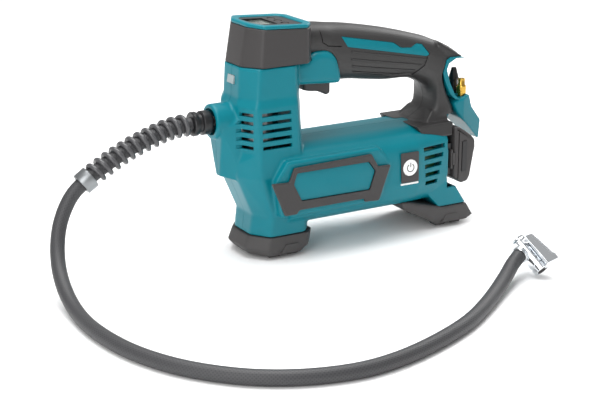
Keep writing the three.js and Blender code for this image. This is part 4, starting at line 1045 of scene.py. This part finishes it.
def coil_tree():
    """A wire wound around the path that comes in."""
    tree = bpy.data.node_groups.new("wound_wire", "GeometryNodeTree")
    sockets = {}
    for name, kind in (("Geometry", "Geometry"), ("Coil Radius", "Float"), ("Wire Radius", "Float"),
                       ("Turns", "Float"), ("Steps", "Int"), ("Finish", "Material")):
        socket = tree.interface.new_socket(name=name, in_out="INPUT", socket_type=f"NodeSocket{kind}")
        sockets[name] = socket.identifier
    tree.interface.new_socket(name="Geometry", in_out="OUTPUT", socket_type="NodeSocketGeometry")
    given = add_node(tree, "NodeGroupInput").outputs
    path = add_node(tree, "GeometryNodeResampleCurve", {},
                    {"Curve": given["Geometry"], "Count": given["Steps"]})
    share = add_node(tree, "GeometryNodeSplineParameter").outputs["Factor"]
    turns = add_node(tree, "ShaderNodeMath", {}, {0: share, 1: given["Turns"]}, operation="MULTIPLY")
    angle = add_node(tree, "ShaderNodeMath", {1: 2 * math.pi}, {0: turns.outputs[0]}, operation="MULTIPLY")
    side = add_node(tree, "GeometryNodeInputNormal").outputs["Normal"]
    run = add_node(tree, "GeometryNodeInputTangent").outputs["Tangent"]
    up = add_node(tree, "ShaderNodeVectorMath", {}, {0: run, 1: side}, operation="CROSS_PRODUCT").outputs[0]
    parts = []
    for operation, direction in (("COSINE", side), ("SINE", up)):
        wave = add_node(tree, "ShaderNodeMath", {}, {0: angle.outputs[0]}, operation=operation)
        reach = add_node(tree, "ShaderNodeMath", {}, {0: wave.outputs[0], 1: given["Coil Radius"]},
                         operation="MULTIPLY")
        parts.append(add_node(tree, "ShaderNodeVectorMath", {}, {0: direction, "Scale": reach.outputs[0]},
                              operation="SCALE"))
    offset = add_node(tree, "ShaderNodeVectorMath", {}, {0: parts[0].outputs[0], 1: parts[1].outputs[0]},
                      operation="ADD")
    wound = add_node(tree, "GeometryNodeSetPosition", {},
                     {"Geometry": path.outputs["Curve"], "Offset": offset.outputs[0]})
    section = add_node(tree, "GeometryNodeCurvePrimitiveCircle", {"Resolution": 12},
                       {"Radius": given["Wire Radius"]})
    wire = add_node(tree, "GeometryNodeCurveToMesh", {"Fill Caps": True},
                    {"Curve": wound.outputs["Geometry"], "Profile Curve": section.outputs["Curve"]})
    real = add_node(tree, "GeometryNodeRealizeInstances", {}, {"Geometry": wire.outputs["Mesh"]})
    painted = add_node(tree, "GeometryNodeSetMaterial", {},
                       {"Geometry": real.outputs["Geometry"], "Material": given["Finish"]})
    add_node(tree, "NodeGroupOutput", {}, {"Geometry": painted.outputs["Geometry"]})
    return tree, sockets


def make_guard():
    """The spring around the hose's first stretch."""
    curve = bpy.data.curves.new("guard_path", "CURVE")
    curve.dimensions = "3D"
    spline = curve.splines.new("POLY")
    reaches = [2.6 + (GUARD_LENGTH - 4.6) * k / 60 for k in range(61)]
    spline.points.add(60)
    for point, reach in zip(spline.points, reaches):
        point.co = (*(route_at(reach)[0] * MM), 1)
    path = bpy.data.objects.new("guard_path", curve)
    bpy.context.scene.collection.objects.link(path)
    tree, sockets = coil_tree()
    coil = path.modifiers.new("coil", "NODES")
    coil.node_group = tree
    wire = 1.95
    values = {
        "Coil Radius": (GUARD_RADIUS - wire) * MM, "Wire Radius": wire * MM, "Turns": 12.0, "Steps": 480,
        "Finish": MATERIALS["dipped_wire"],
    }
    for name, value in values.items():
        coil[sockets[name]] = value
    graph = bpy.context.evaluated_depsgraph_get()
    mesh = bpy.data.meshes.new_from_object(path.evaluated_get(graph))
    bpy.data.objects.remove(path)
    guard = bpy.data.objects.new("guard", mesh)
    bpy.context.scene.collection.objects.link(guard)
    return finish(guard, "spring_guard_coil", "black_plastic", nodes=["spring_guard"],
                  material="dipped_wire", angle=70)


def make_hose():
    total = REACHES[-1]
    count = 300
    reaches = [0.4 + (total - 0.4) * k / count for k in range(count + 1)]
    places = route_frames(reaches)
    corners = 20
    rings = [route_ring(place, HOSE_RADIUS, corners) for place in places]
    hose = made("hose", lambda bm: add_loft(bm, rings))
    uv = hose.data.uv_layers.new(name="length_and_turn")
    for face in hose.data.polygons:
        rows = [i // corners for i in face.vertices]
        sides = [i % corners for i in face.vertices]
        wraps = max(sides) - min(sides) > 1 and len(sides) == 4
        for loop, row, turn in zip(face.loop_indices, rows, sides):
            turn = corners if wraps and turn == 0 else turn
            uv.data[loop].uv = (reaches[row] * MM, turn / corners * 2 * math.pi * HOSE_RADIUS * MM)
    finish(hose, "braided_hose", "hose_rubber", nodes=["air_hose"])
    return hose, [p[0] * MM for p in places], total - 0.4


CHUCK_HEADING = math.radians(18)
CHUCK_PITCH = math.radians(38.7)
HEAD_REACH = 12
PIN_Y = 2
PIN_Z = 8.4
LEVER_HALF = 7.5


def make_fittings():
    """The pieces on the hose, from the gland to the chuck."""
    gland = made("gland", lambda bm: add_turned(bm, [
        (3, 0), (8.6, 0), (9.3, 0.7), (9.3, 3.6), (8.9, 4.2), (7.6, 4.6), (7.6, 7.2), (8.9, 7.7), (9.3, 8.2),
        (9.3, 13.8), (9, 14.6), (8.2, 15.5), (3, 15.5), (3, 0),
    ], along_x(GLAND_FRONT, 0, BOSS_Z), 64))
    finish(gland, "hose_gland_nut", "black_plastic", nodes=["hose_gland"])
    low, high = GUARD_LENGTH + GAP, GUARD_LENGTH + CUFF_LENGTH
    cuff = made("cuff", lambda bm: add_sleeve(bm, [
        (low, 6.3), (low, 8.3), (low + 0.3, 8.6), (high - 0.6, 8.5), (high, 8.1), (high, 6.3),
    ]))
    finish(cuff, "hose_cuff_band", "cast_metal", nodes=["hose_cuff"])
    end, run = route_at(REACHES[-1])
    turn = Matrix.Rotation(CHUCK_HEADING, 4, "Z") @ Matrix.Rotation(CHUCK_PITCH, 4, "X")
    head = Matrix.Translation(end + run * HEAD_REACH) @ turn
    aim = Matrix.Translation(end) @ run.to_track_quat("Z", "Y").to_matrix().to_4x4()
    profile = [(5.5, 0.3), (6.1, 0.3), (6.4, 0.6)]
    for k in range(3):
        z = 1.2 + k * 1.1
        profile += [(6.4, z), (6, z + 0.2), (6, z + 0.5), (6.4, z + 0.7)]
    profile += [(6.1, 4.7), (4.6, 4.9), (4.6, 7), (0.01, 7)]
    ferrule = made("ferrule", lambda bm: add_turned(bm, [(0.01, 0.3), *profile], aim, 48))
    finish(ferrule, "hose_ferrule_crimped", "chrome", nodes=["hose_ferrule"])

    def turned_y(bm, points):
        add_turned(bm, points, head @ Matrix.Rotation(-math.pi / 2, 4, "X"), 56)
    body = made("body", lambda bm: turned_y(bm, [
        (4.6, -21.5), (6.4, -21.5), (7, -20.9), (7, -17.5), (6.5, -16.9), (6.5, -16.1), (7, -15.5), (7, 5),
        (6.6, 5.5), (6.6, 6.1), (7, 6.6), (6.9, 7), (6.3, 7.5), (5.4, 7.6), (5.4, 8.5), (4.9, 9), (0.01, 9),
        (0.01, -11.5), (4.6, -11.5), (4.6, -21.5),
    ]))

    def around_pin(radius, turns, count):
        angles = [2 * math.pi * turns * k / count for k in range(count + (turns < 1))]
        return [(PIN_Y + radius * math.cos(a), PIN_Z + radius * math.sin(a)) for a in angles]

    def ears(bm):
        for x0 in (-4.5, 1.6):
            outline = around_pin(2.3, 0.5, 12)
            outline += [(PIN_Y - 2.3, 5), (PIN_Y + 2.3, 5)]
            add_hull(bm, [head @ Vector((x, y, z)) for x in (x0, x0 + 2.9) for y, z in outline])
    combine(body, made("ears", ears), "UNION")
    finish(body, "chuck_barrel", "chrome", nodes=["chuck_body"])
    plate = [
        (5.4, PIN_Z + 4), (-17.6, PIN_Z + 4.9), (-22, PIN_Z + 4.6), (-23.8, PIN_Z - 0.6), (-22.4, PIN_Z - 1),
        (-20.8, PIN_Z + 3.2), (-17, PIN_Z + 3.4), (5, PIN_Z + 2.6),
    ]

    def lever_plate(bm):
        outline = rounded(plate, 1.2, 4)
        rim = edge_steps(0.5, 3)
        levels = [(d, -LEVER_HALF + a) for d, a in rim] + [(d, LEVER_HALF - a) for d, a in reversed(rim)]
        add_loft(bm, [[head @ Vector((x, y, z)) for y, z in inset(outline, d)] for d, x in levels])

    def lever_foot(bm):
        outline = around_pin(3, 1, 24)
        outline += [(PIN_Y - 2, PIN_Z + 3.4), (PIN_Y + 2, PIN_Z + 3.8)]
        add_hull(bm, [head @ Vector((x, y, z)) for x in (-1.3, 1.3) for y, z in outline])
    lever = combine(made("lever", lever_plate), made("foot", lever_foot), "UNION")
    finish(lever, "chuck_thumb_lever", "chrome", "chuck_lever", ["chuck_lever"])


# ---- The whole pump --------------------------------------------------------------------------

make_materials()
make_camera()
make_studio()
paint_frame()
hose, hose_path, hose_length = make_hose()
guard = make_guard()
make_fittings()
tuple(hose_path[0])
[tuple(p) for p in hose_path]
make_housing()
make_grip()
make_gauge()
make_trigger()
make_badges()
make_power()
make_feet()
make_rear()
